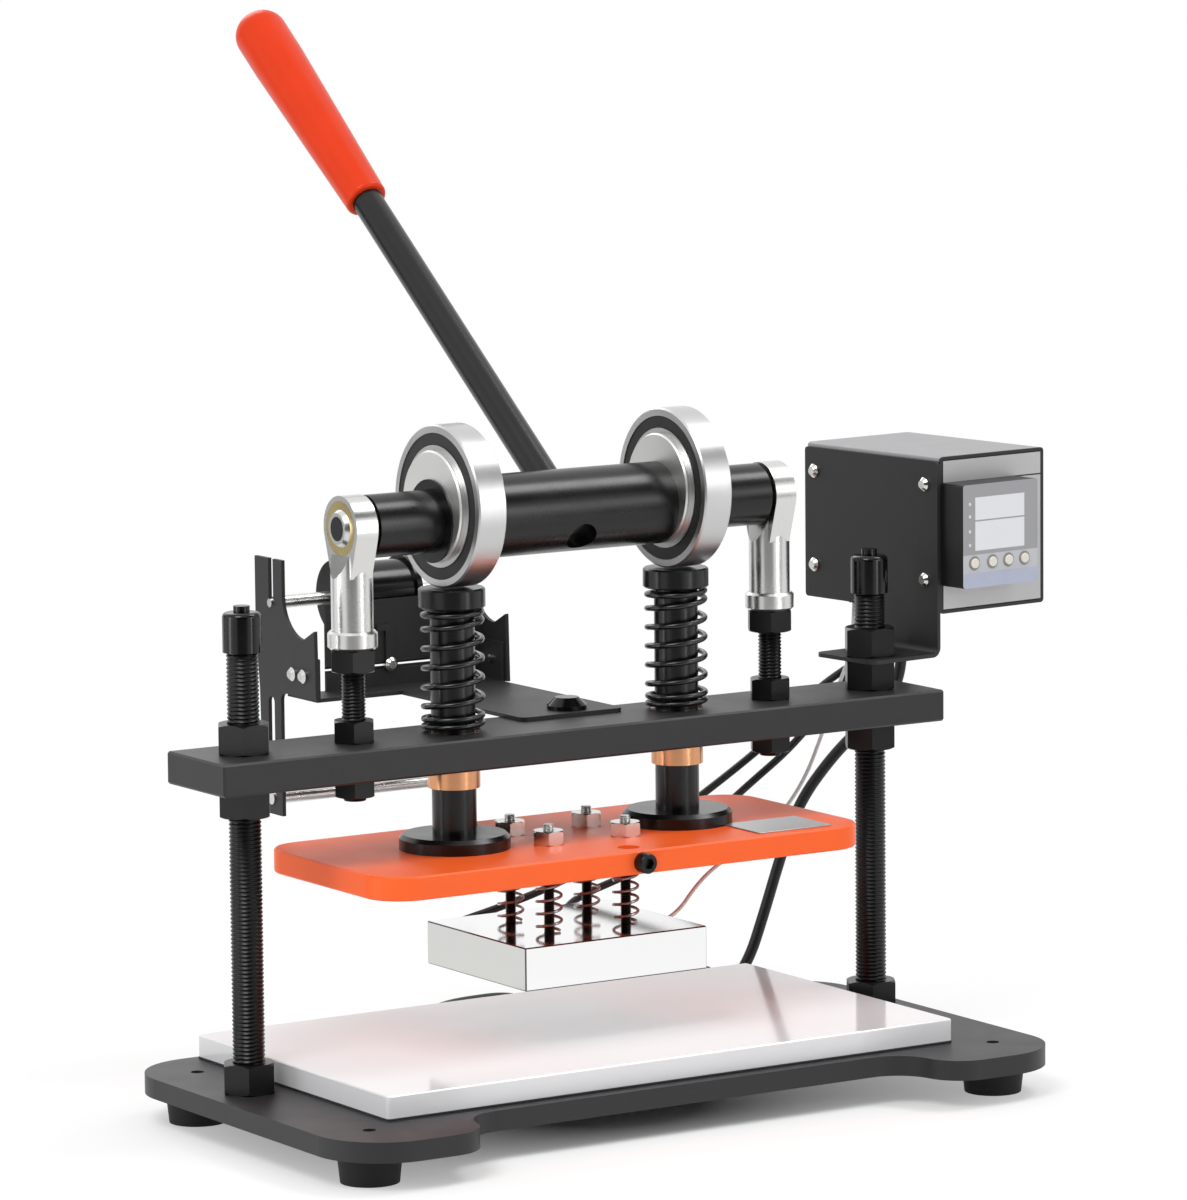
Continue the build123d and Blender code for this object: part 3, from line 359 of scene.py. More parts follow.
@dataclass(frozen=True)
class Brushed(Finish):
    """Metal with brush lines along one way: the relief is noise squeezed across them."""

    stretch: Point = (0.02, 1.0, 1.0)

    def relief(self, surface: Surface) -> Shade:
        """The height of the surface, drawn out along the brush lines."""
        wide, deep, high = self.stretch
        return surface.lines(
            surface.x * wide, surface.y * deep, surface.z * high, self.grain_scale
        )


@dataclass(frozen=True)
class BlockPaintedShade(Brushed):
    """The heater block, with painted shade: its ends darker than the rest, its edges dark lines.

    An edge is where two parts of the normal are both large: the sum of the products of each
    two parts is nought on a face and reaches a half on an edge.
    """

    # Painted shade: end darkens the two ends and edge draws dark lines along the edges of the
    # polished block.
    end: str = "D4D4D1"
    edge: str = "5A5A5A"
    end_facing: float = 0.9
    edge_bend: float = 0.12

    def tint(self, surface: Surface) -> Shade:
        """The colour, by the way that the surface faces: painted shade on the ends and along the
        edges.

        Args:
            surface: The material.

        Returns:
            The colour.
        """
        normal = surface.node("ShaderNodeNewGeometry", output="True Normal")
        wide, deep, high = (abs(part) for part in surface.parts(normal))
        bent = wide * deep + deep * high + high * wide
        face = surface.mix(wide > self.end_facing, self.colour, self.end)
        return surface.mix(bent > self.edge_bend, face, self.edge)


@dataclass(frozen=True)
class StudPaintedShade(Finish):
    """The guide studs: painted shade makes them dark under the plate, and their ends above it are
    bright.
    """

    bright: str = "CFCFCD"
    split: float = 133.0 * MM

    def tint(self, surface: Surface) -> Shade:
        """The colour, by height: painted shade below split."""
        return surface.mix(surface.z > self.split, self.colour, self.bright)


@dataclass(frozen=True)
class Braided(Finish):
    """A lead's braided sleeve: the relief is two crossed sine waves."""

    def relief(self, surface: Surface) -> Shade:
        """The height of the braid: the product of the two waves."""
        one, other = surface.x + surface.z, surface.y - surface.x
        return (one * self.grain_scale).sine() * (other * self.grain_scale).sine()


@dataclass(frozen=True)
class PanelFace(Brushed):
    """The box's front plate: brushed grey with a dark line all round its rim and one across.

    A place is in the rim where it is further from the middle than half, and in the seam where
    it is within the second value of the first one's height.
    """

    rim: str = "151516"
    middle: Pair = (35.65 * MM, 267.5 * MM)
    half: Pair = (33.5 * MM, 38.1 * MM)
    seam: Pair = (294.2 * MM, 0.35 * MM)

    def tint(self, surface: Surface) -> Shade:
        """The colour, dark along the rim and the seam.

        Args:
            surface: The material.

        Returns:
            The colour.
        """
        along, _ = surface.within()
        sides = abs(along - self.middle[0]) > self.half[0]
        ends = abs(surface.z - self.middle[1]) > self.half[1]
        seam = abs(surface.z - self.seam[0]) < self.seam[1]
        return surface.mix((sides + ends + seam) > 0.5, self.colour, self.rim)


@dataclass(frozen=True)
class Shell(Brushed):
    """The box's sheet cover, black along its cut front edge."""

    edge: str = "141415"
    edge_depth: float = 0.9 * MM

    def tint(self, surface: Surface) -> Shade:
        """The colour, by depth into the box."""
        _, depth = surface.within()
        return surface.mix(depth < self.edge_depth, self.colour, self.edge)


@dataclass(frozen=True)
class InstrumentFace(Brushed):
    """The controller's instrument: black sides, a grey face and a violet strip along its foot.

    A place belongs to the face where its depth into the box, along the box's own turned Y, is
    less than face_depth.
    """

    face: str = "98989B"
    strip: str = "9AA4C8"
    light: str = "B9BBC0"
    face_depth: float = -16.4 * MM
    strip_top: float = 249.2 * MM
    keys_top: float = 258.5 * MM

    def tint(self, surface: Surface) -> Shade:
        """The colour, by depth and height. The strip is stronger in the patches.

        Args:
            surface: The material.

        Returns:
            The colour.
        """
        _, depth = surface.within()
        foot = (surface.z < self.strip_top) * surface.patches
        face = surface.mix(surface.z < self.keys_top, self.face, self.light)
        face = surface.mix(foot, face, self.strip)
        return surface.mix(depth < self.face_depth, self.colour, face)


class Coat(Enum):
    """Every finish on the press."""

    POWDER = Finish("29292B", 0.44, shine=0.34, grain=0.00006, grain_scale=900)
    SHEET = Finish("28282A", 0.48, shine=0.34, grain=0.00004, grain_scale=1100)
    OXIDE = Finish("0F0F10", 0.3, shine=0.3, grain=0.00002, grain_scale=700)
    SATIN_BLACK = Turned("0D0D0E", 0.27, shine=0.4, grain=0.000012, grain_scale=900, axis_z=SHAFT_Z)
    PLUNGER_BLACK = Brushed(
        "0C0C0D", 0.25, shine=0.4, grain=0.000012, grain_scale=900, stretch=(0.05, 0.05, 1.0)
    )
    VINYL = Finish("060607", 0.2, coat=0.05, shine=0.35, grain=0.00002, grain_scale=250)
    RUBBER = Finish("0C0C0D", 0.65, shine=0.35, grain=0.00006, grain_scale=1000)
    CORD = Finish("0C0C0D", 0.45, shine=0.4, grain=0.00003, grain_scale=1500)
    ORANGE_PLATE = Finish("FF6628", 0.38, shine=0.22, grain=0.00003, grain_scale=600, mottle=0.05)
    ORANGE_GRIP = Finish("DE3806", 0.32, shine=0.22, grain=0.00002, grain_scale=300)
    BOARD = Finish("ECECEE", 0.1, coat=0.2, grain=0.000006, grain_scale=120, mottle=0.02)
    BOARD_PAD = Finish("2A2A2C", 0.7)
    GROUND_RING = Turned("CCCCCC", 0.33, metallic=1.0, grain=0.000008, grain_scale=1500)
    GROUND_FACE = Turned(
        "E2E2E0", 0.38, metallic=1.0, grain=0.00002, grain_scale=2500, axis_z=SHAFT_Z, mottle=0.06
    )
    SEAL = Turned("101011", 0.55, grain=0.00003, grain_scale=900)
    POLISHED = Finish("D8D8D6", 0.27, metallic=1.0, grain=0.000004, grain_scale=300, mottle=0.04)
    ZINC = Finish("D9D9D6", 0.2, metallic=1.0, grain=0.00001, grain_scale=900, mottle=0.1)
    # The heater block's mirror metal, with painted shade on its ends and edges.
    MIRROR = BlockPaintedShade(
        "F6F6F6", 0.1, metallic=1.0, grain=0.0000015, grain_scale=2500, stretch=(0.02, 0.02, 1.0),
        wander=0.03,
    )
    # The guide studs: the dark colour is painted shade under the plate; bright is their colour
    # above it.
    STUD = StudPaintedShade("2A2A2B", 0.3, metallic=0.8, grain=0.00001)
    CHROME_WIRE = Finish("9C9C9F", 0.24, metallic=0.95, grain=0.000006)
    BRASS = Finish("CDBB87", 0.28, metallic=1.0, grain=0.00001, mottle=0.1)
    BRONZE = Brushed(
        "DFA277", 0.24, metallic=1.0, grain=0.00001, grain_scale=1500, stretch=(0.03, 0.03, 1.0)
    )
    SPRING = Finish("0B0B0C", 0.25, shine=0.6, grain=0.00001, grain_scale=900)
    HOUSING = Shell("909092", 0.42, grain=0.00002, stretch=(1.0, 0.05, 1.0))
    HOUSING_FRONT = PanelFace(
        "B8B8B9", 0.4, metallic=0.5, grain=0.00001, grain_scale=1500, stretch=(0.03, 0.03, 1.0)
    )
    INSTRUMENT = InstrumentFace("0E0E10", 0.4, grain=0.00001)
    WINDOW = Finish("DCDEE2", 0.2, coat=0.3, grain=0.000002, mottle=0.03)
    KEY = Finish("DCD8CD", 0.35, coat=0.1, grain=0.00001, mottle=0.04)
    # Painted shade: the dark rings round the keys.
    KEY_RIM = Finish("8F8B84", 0.5)
    MARK = Finish("D8D9DC", 0.4)
    LEAD_GREY = Braided("DADAD8", 0.5, grain=0.00003, grain_scale=5200)
    TAG = Brushed(
        "C4C4C6", 0.3, metallic=0.9, grain=0.000008, grain_scale=2000, stretch=(0.02, 1.0, 1.0)
    )

    def paint(self) -> bpy.types.Material:
        """The finish as a material, built once."""
        name = f"press_{self.name.lower()}"
        return bpy.data.materials.get(name) or self.value.material(name)


def dress(coat: Coat, *nodes: str) -> None:
    """Gives carried-over nodes their finish.

    Args:
        coat: The finish.
        nodes: The nodes' names.
    """
    for name in nodes:
        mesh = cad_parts[name].data
        mesh.materials.clear()
        mesh.materials.append(coat.paint())


def add(name: str, data: Any) -> bpy.types.Object:
    """Puts a new object into the scene, at the origin.

    Args:
        name: Its name.
        data: Its mesh, curve, lamp or camera.

    Returns:
        The object.
    """
    made = bpy.data.objects.new(name, data)
    bpy.context.scene.collection.objects.link(made)
    return made


def rounded_outline(width: float, depth: float, corner: float, steps: int = 6) -> Array:
    """A rectangle with round corners: each corner's centre plus a quarter circle.

    Args:
        width: Its size along the first way.
        depth: Its size along the second way.
        corner: The corners' radius.
        steps: The points of a corner.

    Returns:
        Points anticlockwise, one row each.
    """
    sweep = np.linspace(0, math.pi / 2, steps)
    turns = (np.arange(4)[:, None] * math.pi / 2 + sweep[None, :]).ravel()
    signs = np.repeat([[1, 1], [-1, 1], [-1, -1], [1, -1]], steps, axis=0)
    centres = signs * np.array([width / 2 - corner, depth / 2 - corner])
    return centres + corner * np.column_stack([np.cos(turns), np.sin(turns)])


def helix(x: float, y: float, radius: float, turn: Array, height: Array) -> Array:
    """A line wound about a vertical axis: the radius times cos and sin of each turn.

    Args:
        x: The axis.
        y: The axis.
        radius: The line's distance from the axis.
        turn: How many turns each point has gone.
        height: How high each point lies.

    Returns:
        The line's points, one row each.
    """
    angle = 2 * math.pi * turn
    return np.column_stack([x + radius * np.cos(angle), y + radius * np.sin(angle), height])


def tube(path: Array, radius: float, sides: int = 14) -> Array:
    """Rings round a path: each point plus the radius times cos and sin across the path.

    Args:
        path: The path's points, one row each, never going straight up.
        radius: The tube's radius.
        sides: The points of a ring.

    Returns:
        A grid of points, one row for each ring.
    """
    way = np.gradient(path, axis=0)
    way /= np.linalg.norm(way, axis=1, keepdims=True)
    side = np.cross(way, [0.0, 0.0, 1.0])
    side /= np.linalg.norm(side, axis=1, keepdims=True)
    up = np.cross(way, side)
    angle = np.linspace(0, 2 * math.pi, sides, endpoint=False)[None, :, None]
    ring = np.cos(angle) * side[:, None, :] + np.sin(angle) * up[:, None, :]
    return path[:, None, :] + radius * ring


@dataclass(frozen=True)
class Thread:
    """An outside thread along Z: the radius falls by depth halfway between two crests."""

    radius: float
    pitch: float
    depth: float
    sides: int = 36
    steps: int = 6

    def surface(self, low: float, high: float, x: float, y: float) -> Array:
        """The threaded rod's skin, as a grid of height by angle.

        Args:
            low: Its lower end.
            high: Its upper end.
            x: Its axis.
            y: Its axis.

        Returns:
            The points, with the ends drawn in as a chamfer.
        """
        rows = int((high - low) / self.pitch * self.steps) + 1
        z = np.linspace(low, high, rows)[:, None]
        angle = np.linspace(0, 2 * math.pi, self.sides, endpoint=False)[None, :]
        phase = z / self.pitch - angle / (2 * math.pi)
        valley = 2 * np.abs(phase - np.floor(phase) - 0.5)
        end = np.minimum(z - low, high - z) + 0 * angle
        root = self.radius - self.depth
        radius = np.minimum(self.radius - self.depth * valley, root + end)
        height = z + 0 * angle
        return np.stack([x + radius * np.cos(angle), y + radius * np.sin(angle), height], axis=2)


class Solid:
    """Points and faces gathered from several surfaces and made into one piece."""

    def __init__(self) -> None:
        """Starts with nothing."""
        self.points: list[Array] = []
        self.faces: list[list[int]] = []
        self.count = 0

    def grid(self, points: Array, closed_rows: bool = False) -> "Solid":
        """Adds a grid whose columns run round, with its two ends closed.

        Args:
            points: The points by row, column and axis.
            closed_rows: Whether the last row meets the first, as on a ring.

        Returns:
            The solid itself.
        """
        rows, columns = points.shape[:2]
        start = self.count
        first = np.arange(rows if closed_rows else rows - 1)[:, None]
        after = (first + 1) % rows
        column = np.arange(columns)[None, :]
        beside = (column + 1) % columns
        corners = ((first, column), (first, beside), (after, beside), (after, column))
        quads = np.stack([row * columns + place for row, place in corners], axis=2)
        self.faces += (quads.reshape(-1, 4) + start).tolist()
        if not closed_rows:
            last = start + (rows - 1) * columns
            self.faces.append(list(range(start + columns - 1, start - 1, -1)))
            self.faces.append(list(range(last, last + columns)))
        self.points.append(points.reshape(-1, 3))
        self.count += rows * columns
        return self

    def prism(self, outline: Array, low: float, high: float, place: Matrix) -> "Solid":
        """Adds a flat plate with a small chamfer: its outline at four heights.

        Args:
            outline: The outline's points in the plate's own plane.
            low: Its lower face.
            high: Its upper face.
            place: Where its plane lies.

        Returns:
            The solid itself.
        """
        edge = min(CHAMFER, (high - low) / 3)
        middle = outline.mean(axis=0)
        reach = np.linalg.norm(outline - middle, axis=1, keepdims=True)
        inner = middle + (outline - middle) * (1 - edge / reach)
        rings = [(inner, low), (outline, low + edge), (outline, high - edge), (inner, high)]
        level = np.stack([np.column_stack([ring, np.full(len(ring), z)]) for ring, z in rings])
        turned = level @ np.array(place.to_3x3()).T + np.array(place.translation)
        return self.grid(turned)

    def piece(self, name: str, body: Body, slot: str, coat: Coat) -> bpy.types.Object:
        """Makes the piece, smooth except at edges sharper than SHARP_ANGLE.

        Args:
            name: The piece's name.
            body: The body that it rides on.
            slot: The record's material slot; not used.
            coat: Its finish.

        Returns:
            The piece.
        """
        mesh = bpy.data.meshes.new(name)
        mesh.from_pydata(np.concatenate(self.points).tolist(), [], self.faces)
        mesh.polygons.foreach_set("use_smooth", np.ones(len(mesh.polygons), dtype=bool))
        mesh.set_sharp_from_angle(angle=SHARP_ANGLE)
        mesh.materials.append(coat.paint())
        made = add(name, mesh)
        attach(made, body.value)
        log.info("%s has %d faces", name, len(self.faces))
        return made


@dataclass(frozen=True)
class Base:
    """The base plate, its feet, and the white board with a thin dark strip laid under its edge."""

    strip_thickness: float = 1.1 * MM
    strip_proud: float = 0.25 * MM
    board_corner: float = 2.2 * MM

    def build(self) -> None:
        """Dresses the base and lays the thin dark strip under the board's edge."""
        dress(Coat.POWDER, "base_plate")
        dress(Coat.RUBBER, "rubber_feet")
        dress(Coat.BOARD, "work_board")
        low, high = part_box("work_board")
        centre = (low + high) / 2
        width = high.x - low.x + 2 * self.strip_proud
        depth = high.y - low.y + 2 * self.strip_proud
        outline = rounded_outline(width, depth, self.board_corner)
        place = Matrix.Translation((centre.x, centre.y, low.z))
        # A thin dark strip, a little wider than the board, laid under its edge.
        dark_strip = Solid().prism(outline, LIFT, self.strip_thickness, place)
        dark_strip.piece("board_pad", Body.ROOT, "rubber", Coat.BOARD_PAD)


@dataclass(frozen=True)
class Standards:
    """The threaded posts with nuts and caps, the cross beam and the shaft's carriers."""

    post: Thread = Thread(8.0 * MM, 2.0 * MM, 0.8 * MM)
    stud: Thread = Thread(6.0 * MM, 1.75 * MM, 0.75 * MM, sides=30)

    def threaded(self, node: str, name: str, thread: Thread) -> None:
        """Replaces a pair of plain rods by threaded ones of the same reach.

        Args:
            node: The node that is replaced.
            name: The new piece's name.
            thread: Its thread.
        """
        low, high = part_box(node)
        y = (low.y + high.y) / 2
        rods = Solid()
        for x in (low.x + thread.radius, high.x - thread.radius):
            rods.grid(thread.surface(low.z, high.z, x, y))
        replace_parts(rods.piece(name, Body.ROOT, "black_oxide", Coat.OXIDE), node)

    def build(self) -> None:
        """Dresses the beam, nuts, caps and rod ends, and threads the rods."""
        dress(Coat.POWDER, "cross_beam")
        dress(Coat.OXIDE, "post_nuts", "stud_nuts")
        dress(Coat.VINYL, "post_caps")
        dress(Coat.POLISHED, "rod_ends", "rod_end_balls")
        dress(Coat.BRASS, "rod_end_liners")
        dress(Coat.BRONZE, "plunger_bushes")
        self.threaded("posts", "threaded_posts", self.post)
        self.threaded("bearing_studs", "threaded_studs", self.stud)


@dataclass(frozen=True)
class CamDrive:
    """The cam shaft, its eccentrics and bearings, and the hand lever."""

    def build(self) -> None:
        """Dresses the shaft, the bearings and the lever."""
        dress(Coat.SATIN_BLACK, "cam_shaft", "lever_rod")
        dress(Coat.GROUND_FACE, "eccentric_discs")
        dress(Coat.GROUND_RING, "bearing_inner_rings")
        for side in ("left", "right"):
            dress(Coat.GROUND_RING, f"bearing_outer_ring_{side}", f"bearing_rollers_{side}")
            dress(Coat.SEAL, f"bearing_seals_{side}")
        dress(Coat.ORANGE_GRIP, "lever_grip")


@dataclass(frozen=True)
class PlungerSprings:
    """The two return springs: a helix with closed turns at both ends."""

    span: float = 65.5 * MM
    radius: float = 14.5 * MM
    wire: float = 1.4 * MM
    low: float = 191.85 * MM
    high: float = 250.25 * MM
    closed_pitch: float = 3.6 * MM
    closed_low: float = 2.0
    closed_high: float = 1.0
    open_turns: float = 5.0
    points_per_turn: int = 36
    travel: float = 9.394 * MM
    beam_top: float = 190.4 * MM

    def path(self, x: float) -> Array:
        """The wire's centre line about one plunger: height rises fast in the open turns.

        Args:
            x: The plunger's axis.

        Returns:
            The line's points.
        """
        whole = self.closed_low + self.open_turns + self.closed_high
        turn = np.linspace(0, whole, int(whole * self.points_per_turn) + 1)
        closed = (self.closed_low + self.closed_high) * self.closed_pitch
        pitch = (self.high - self.low - closed) / self.open_turns
        low_part = np.minimum(turn, self.closed_low)
        open_part = np.clip(turn - self.closed_low, 0, self.open_turns)
        high_part = np.maximum(turn - self.closed_low - self.open_turns, 0)
        height = self.low + (low_part + high_part) * self.closed_pitch + open_part * pitch
        return helix(x, POST_LINE, self.radius, turn, height)

    def build(self) -> None:
        """Winds both springs."""
        springs = Solid()
        for x in (-self.span, self.span):
            springs.grid(tube(self.path(x), self.wire))
        made = springs.piece("return_springs", Body.ROOT, "spring_black", Coat.SPRING)
        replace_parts(made, "plunger_springs")
        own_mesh(made)
        dress(Coat.PLUNGER_BLACK, "plungers")


@dataclass(frozen=True)
class PressPlate:
    """The orange plate with its screws and the bare metal tag on its top."""

    tag_size: Pair = (44.0 * MM, 33.0 * MM)
    tag_centre: Pair = (100.0 * MM, -11.5 * MM)
    tag_corner: float = 1.5 * MM
    tag_thickness: float = 0.6 * MM

    def build(self) -> None:
        """Dresses the plate and lays the tag on it."""
        dress(Coat.ORANGE_PLATE, "pressing_plate")
        dress(Coat.OXIDE, "plate_screws")
        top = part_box("pressing_plate")[1].z
        place = Matrix.Translation((*self.tag_centre, top))
        outline = rounded_outline(*self.tag_size, self.tag_corner)
        tag = Solid().prism(outline, LIFT, self.tag_thickness, place)
        tag.piece("plate_tag", Body.PRESS, "ground_steel", Coat.TAG)


@dataclass(frozen=True)
class Heater:
    """The polished block on its four sprung studs."""

    thread: Thread = Thread(2.75 * MM, 0.9 * MM, 0.5 * MM, sides=20, steps=5)
    span_x: float = 22.5 * MM
    span_y: float = 18.0 * MM
    spring_radius: float = 6.15 * MM
    spring_wire: float = 0.75 * MM
    spring_turns: float = 5.0
    points_per_turn: int = 28
    wire_sides: int = 10
    seat_gap: float = 0.8 * MM
    float_travel: float = 9.0 * MM

    def places(self) -> list[Pair]:
        """The axes of the four studs."""
        sides = (-1, 1)
        return [(i * self.span_x, POST_LINE + j * self.span_y) for i in sides for j in sides]

    def spring(self, x: float, y: float, low: float, high: float) -> Array:
        """One stud's spring: an even helix.

        Args:
            x: The stud's axis.
            y: The stud's axis.
            low: Where the helix starts.
            high: Where it ends.

        Returns:
            The wire's skin.
        """
        count = int(self.spring_turns * self.points_per_turn) + 1
        turn = np.linspace(0, self.spring_turns, count)
        height = low + (high - low) * turn / self.spring_turns
        path = helix(x, y, self.spring_radius, turn, height)
        return tube(path, self.spring_wire, self.wire_sides)

    def build(self) -> None:
        """Dresses the block, threads the studs and winds their springs."""
        dress(Coat.MIRROR, "heater_block")
        dress(Coat.ZINC, "guide_nuts", "heater_cartridges")
        low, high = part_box("guide_studs")
        block_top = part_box("heater_block")[1].z
        plate_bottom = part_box("pressing_plate")[0].z
        ends = (block_top + self.seat_gap, plate_bottom - self.seat_gap)
        studs = Solid()
        springs = Solid()
        for x, y in self.places():
            studs.grid(self.thread.surface(low.z, high.z, x, y))
            springs.grid(self.spring(x, y, *ends))
        made = studs.piece("threaded_guides", Body.HEATER, "black_oxide", Coat.STUD)
        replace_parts(made, "guide_studs")
        wound = springs.piece("block_springs", Body.PRESS, "zinc", Coat.CHROME_WIRE)
        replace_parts(wound, "guide_springs")
        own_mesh(wound)


@dataclass(frozen=True)
class FoilHolder:
    """The sheet-metal holder behind the beam, with its shaft, spool and guide rod."""

    def build(self) -> None:
        """Dresses the holder's pieces."""
        dress(Coat.SHEET, "foil_frame", "foil_sides", "foil_clip")
        dress(Coat.POLISHED, "foil_shaft", "foil_guide_rod")
        dress(Coat.VINYL, "foil_spool", "arm_screw")
        dress(Coat.ZINC, "small_screws")


@dataclass(frozen=True)
class Controller:
    """The temperature controller: its bracket, box, instrument, windows and keys."""

    key_x: tuple = (8.5 * MM, 20.8 * MM, 31.8 * MM, 42.8 * MM)
    key_z: float = 254.2 * MM
    rim_radius: float = 3.3 * MM
    rim_wire: float = 0.4 * MM
    rim_points: int = 28
    wire_sides: int = 8
    face_y: float = -16.5 * MM
    mark_x: float = 5.4 * MM
    mark_z: tuple = (284.6 * MM, 278.2 * MM, 270.6 * MM, 263.6 * MM)
    mark_size: float = 1.7 * MM
    mark_corner: float = 0.68 * MM
    mark_faces: Pair = (0.02 * MM, 0.3 * MM)

    def placed(self, points: Array) -> Array:
        """Turns points of the box's own frame into the press's.

        Args:
            points: The points, with the last axis holding X, Y and Z.

        Returns:
            The same points, turned and moved.
        """
        turn = np.array(Matrix.Rotation(BOX_TURN, 3, "Z"))
        return points @ turn.T + np.array([*BOX_CORNER, 0.0])

    def rim(self, x: float) -> Array:
        """A thin dark ring of painted shade round one key: a small circle carried round a larger
        one.

        Args:
            x: The key's middle.

        Returns:
            The ring's skin.
        """
        around = np.linspace(0, 2 * math.pi, self.rim_points, endpoint=False)[:, None]
        across = np.linspace(0, 2 * math.pi, self.wire_sides, endpoint=False)[None, :]
        reach = self.rim_radius + self.rim_wire * np.cos(across)
        wide = x + reach * np.cos(around)
        deep = self.face_y - self.rim_wire * np.sin(across) + 0 * around
        high = self.key_z - reach * np.sin(around)
        return self.placed(np.stack([wide, deep, high], axis=2))

    def build(self) -> None:
        """Dresses the box and adds rings of painted shade round the keys and the lamps' marks."""
        dress(Coat.SHEET, "controller_bracket")
        dress(Coat.HOUSING, "controller_housing")
        dress(Coat.HOUSING_FRONT, "front_panel")
        dress(Coat.INSTRUMENT, "instrument_case")
        dress(Coat.WINDOW, "display_windows")
        dress(Coat.RUBBER, "lead_grommets", "mains_gland")
        dress(Coat.KEY, *(f"button_{number}" for number in range(1, 5)))
        # Rings of painted shade round the keys.
        shade_rings = Solid()
        for x in self.key_x:
            shade_rings.grid(self.rim(x), closed_rows=True)
        shade_rings.piece("key_rims", Body.ROOT, "panel_grey", Coat.KEY_RIM)
        marks = Solid()
        outline = rounded_outline(self.mark_size, self.mark_size, self.mark_corner, 4)
        stand = Matrix.Rotation(BOX_TURN, 4, "Z") @ Matrix.Rotation(math.pi / 2, 4, "X")
        for z in self.mark_z:
            centre = self.placed(np.array([self.mark_x, self.face_y, z]))
            marks.prism(outline, *self.mark_faces, Matrix.Translation(centre.tolist()) @ stand)
        marks.piece("lamp_marks", Body.ROOT, "display", Coat.MARK)


@dataclass(frozen=True)
class Route:
    """A cord's own line: a smooth spline through points in millimetres from the post line."""

    name: str
    points: tuple
    radius: float
    coat: Coat
    slot: str
    body: Body

    def build(self) -> bpy.types.Object:
        """Makes the cord as one spline of order three with a round section.

        Returns:
            The cord, riding on its body.
        """
        curve = bpy.data.curves.new(self.name, "CURVE")
        curve.dimensions = "3D"
        curve.bevel_depth = self.radius
        curve.bevel_resolution = 5
        curve.resolution_u = 10
        curve.use_fill_caps = True
        spline = curve.splines.new("NURBS")
        placed = np.array(self.points) * MM + np.array([0, POST_LINE, 0])
        spline.points.add(len(placed) - 1)
        spline.points.foreach_set("co", np.column_stack([placed, np.ones(len(placed))]).ravel())
        spline.order_u = 3
        spline.use_endpoint_u = True
        curve.materials.append(self.coat.paint())
        made = add(self.name, curve)
        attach(made, self.body.value)
        log.info("%s has %d points", self.name, len(placed))
        return made

    def start(self) -> Point:
        """Where the cord leaves the object."""
        x, y, z = self.points[0]
        return (x * MM, y * MM + POST_LINE, z * MM)


def box_point(x: float, y: float, z: float) -> Point:
    """A point of the controller's own frame, in millimetres from the post line.

    Args:
        x: Along the box's front.
        y: Into the box.
        z: Height.

    Returns:
        The point.
    """
    corner_y = (BOX_CORNER[1] - POST_LINE) / MM
    turned_x = x * math.cos(BOX_TURN) - y * math.sin(BOX_TURN)
    turned_y = x * math.sin(BOX_TURN) + y * math.cos(BOX_TURN)
    return (BOX_CORNER[0] / MM + turned_x, corner_y + turned_y, z)


@dataclass(frozen=True)
class Leads:
    """The two heater leads and the thin sensor lead, from the block into the box.

    Sizes are in millimetres, and lengths in metres. The points between a lead's two ends
    were chosen one by one.
    """

    block_back: float = 46.4
    exit_z: float = 77.2
    straight: float = 10.0
    lead_x: Pair = (17.0, 26.0)
    lead_turn_z: float = 200.0
    lead_radius: float = 2.0
    sensor_start: Point = (52.0, 3.0, 82.0)
    sensor_straight: float = 12.0
    sensor_x: float = 8.0
    sensor_turn_z: float = 203.0
    sensor_radius: float = 1.0
    grommet_y: float = 76.0
    end_z: float = 247.2
    lengths: Point = (0.294, 0.364, 0.272)

    def build(self) -> None:
        """Makes the three leads."""
        near = box_point(self.lead_x[0], self.grommet_y, self.lead_turn_z)
        far = box_point(self.lead_x[1], self.grommet_y, self.lead_turn_z)
        thin = box_point(self.sensor_x, self.grommet_y, self.sensor_turn_z)
        back, high = self.block_back, self.exit_z
        side_x, side_y, side_z = self.sensor_start
        first = (
            (36, back, high), (36, back + self.straight, high), (38.5, 65, 78.8), (45.5, 71, 82.5),
            (57, 73.5, 86.5), (77, 74, 91.5), (104, 73.5, 100), (128, 73, 113), (152, 71, 131),
            (184, 68, 153), (206, 65, 178), near, (near[0], near[1], self.end_z),
        )
        second = (
            (-36, back, high), (-36, back + self.straight, high), (-33.5, 64.5, 77.6),
            (-26.5, 71, 78.4), (-15, 74, 80.5), (5, 75, 84), (36, 75.5, 91), (72, 77, 103),
            (112, 80, 118), (148, 79, 138), (180, 76, 159), (201, 73, 181), far,
            (far[0], far[1], self.end_z),
        )
        sensor = (
            (side_x, side_y, side_z), (side_x + self.sensor_straight, side_y, side_z),
            (88, 13, 100), (118, 27, 108), (150, 44, 114), (180, 56, 133), (197, 60, 162),
            (206, 60, 184), thin, (thin[0], thin[1], self.end_z),
        )
        black = (self.lead_radius * MM, Coat.CORD, "cord_black", Body.HEATER)
        grey = (self.sensor_radius * MM, Coat.LEAD_GREY, "lead_grey", Body.HEATER)
        routes = (
            (Route("lead_front", first, *black), "heater_leads"),
            (Route("lead_back", second, *black), "heater_leads"),
            (Route("lead_sensor", sensor, *grey), "sensor_lead"),
        )
        for (route, node), length in zip(routes, self.lengths):
            lead = route.build()
            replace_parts(lead, node)
            route.start()
            2 * route.radius


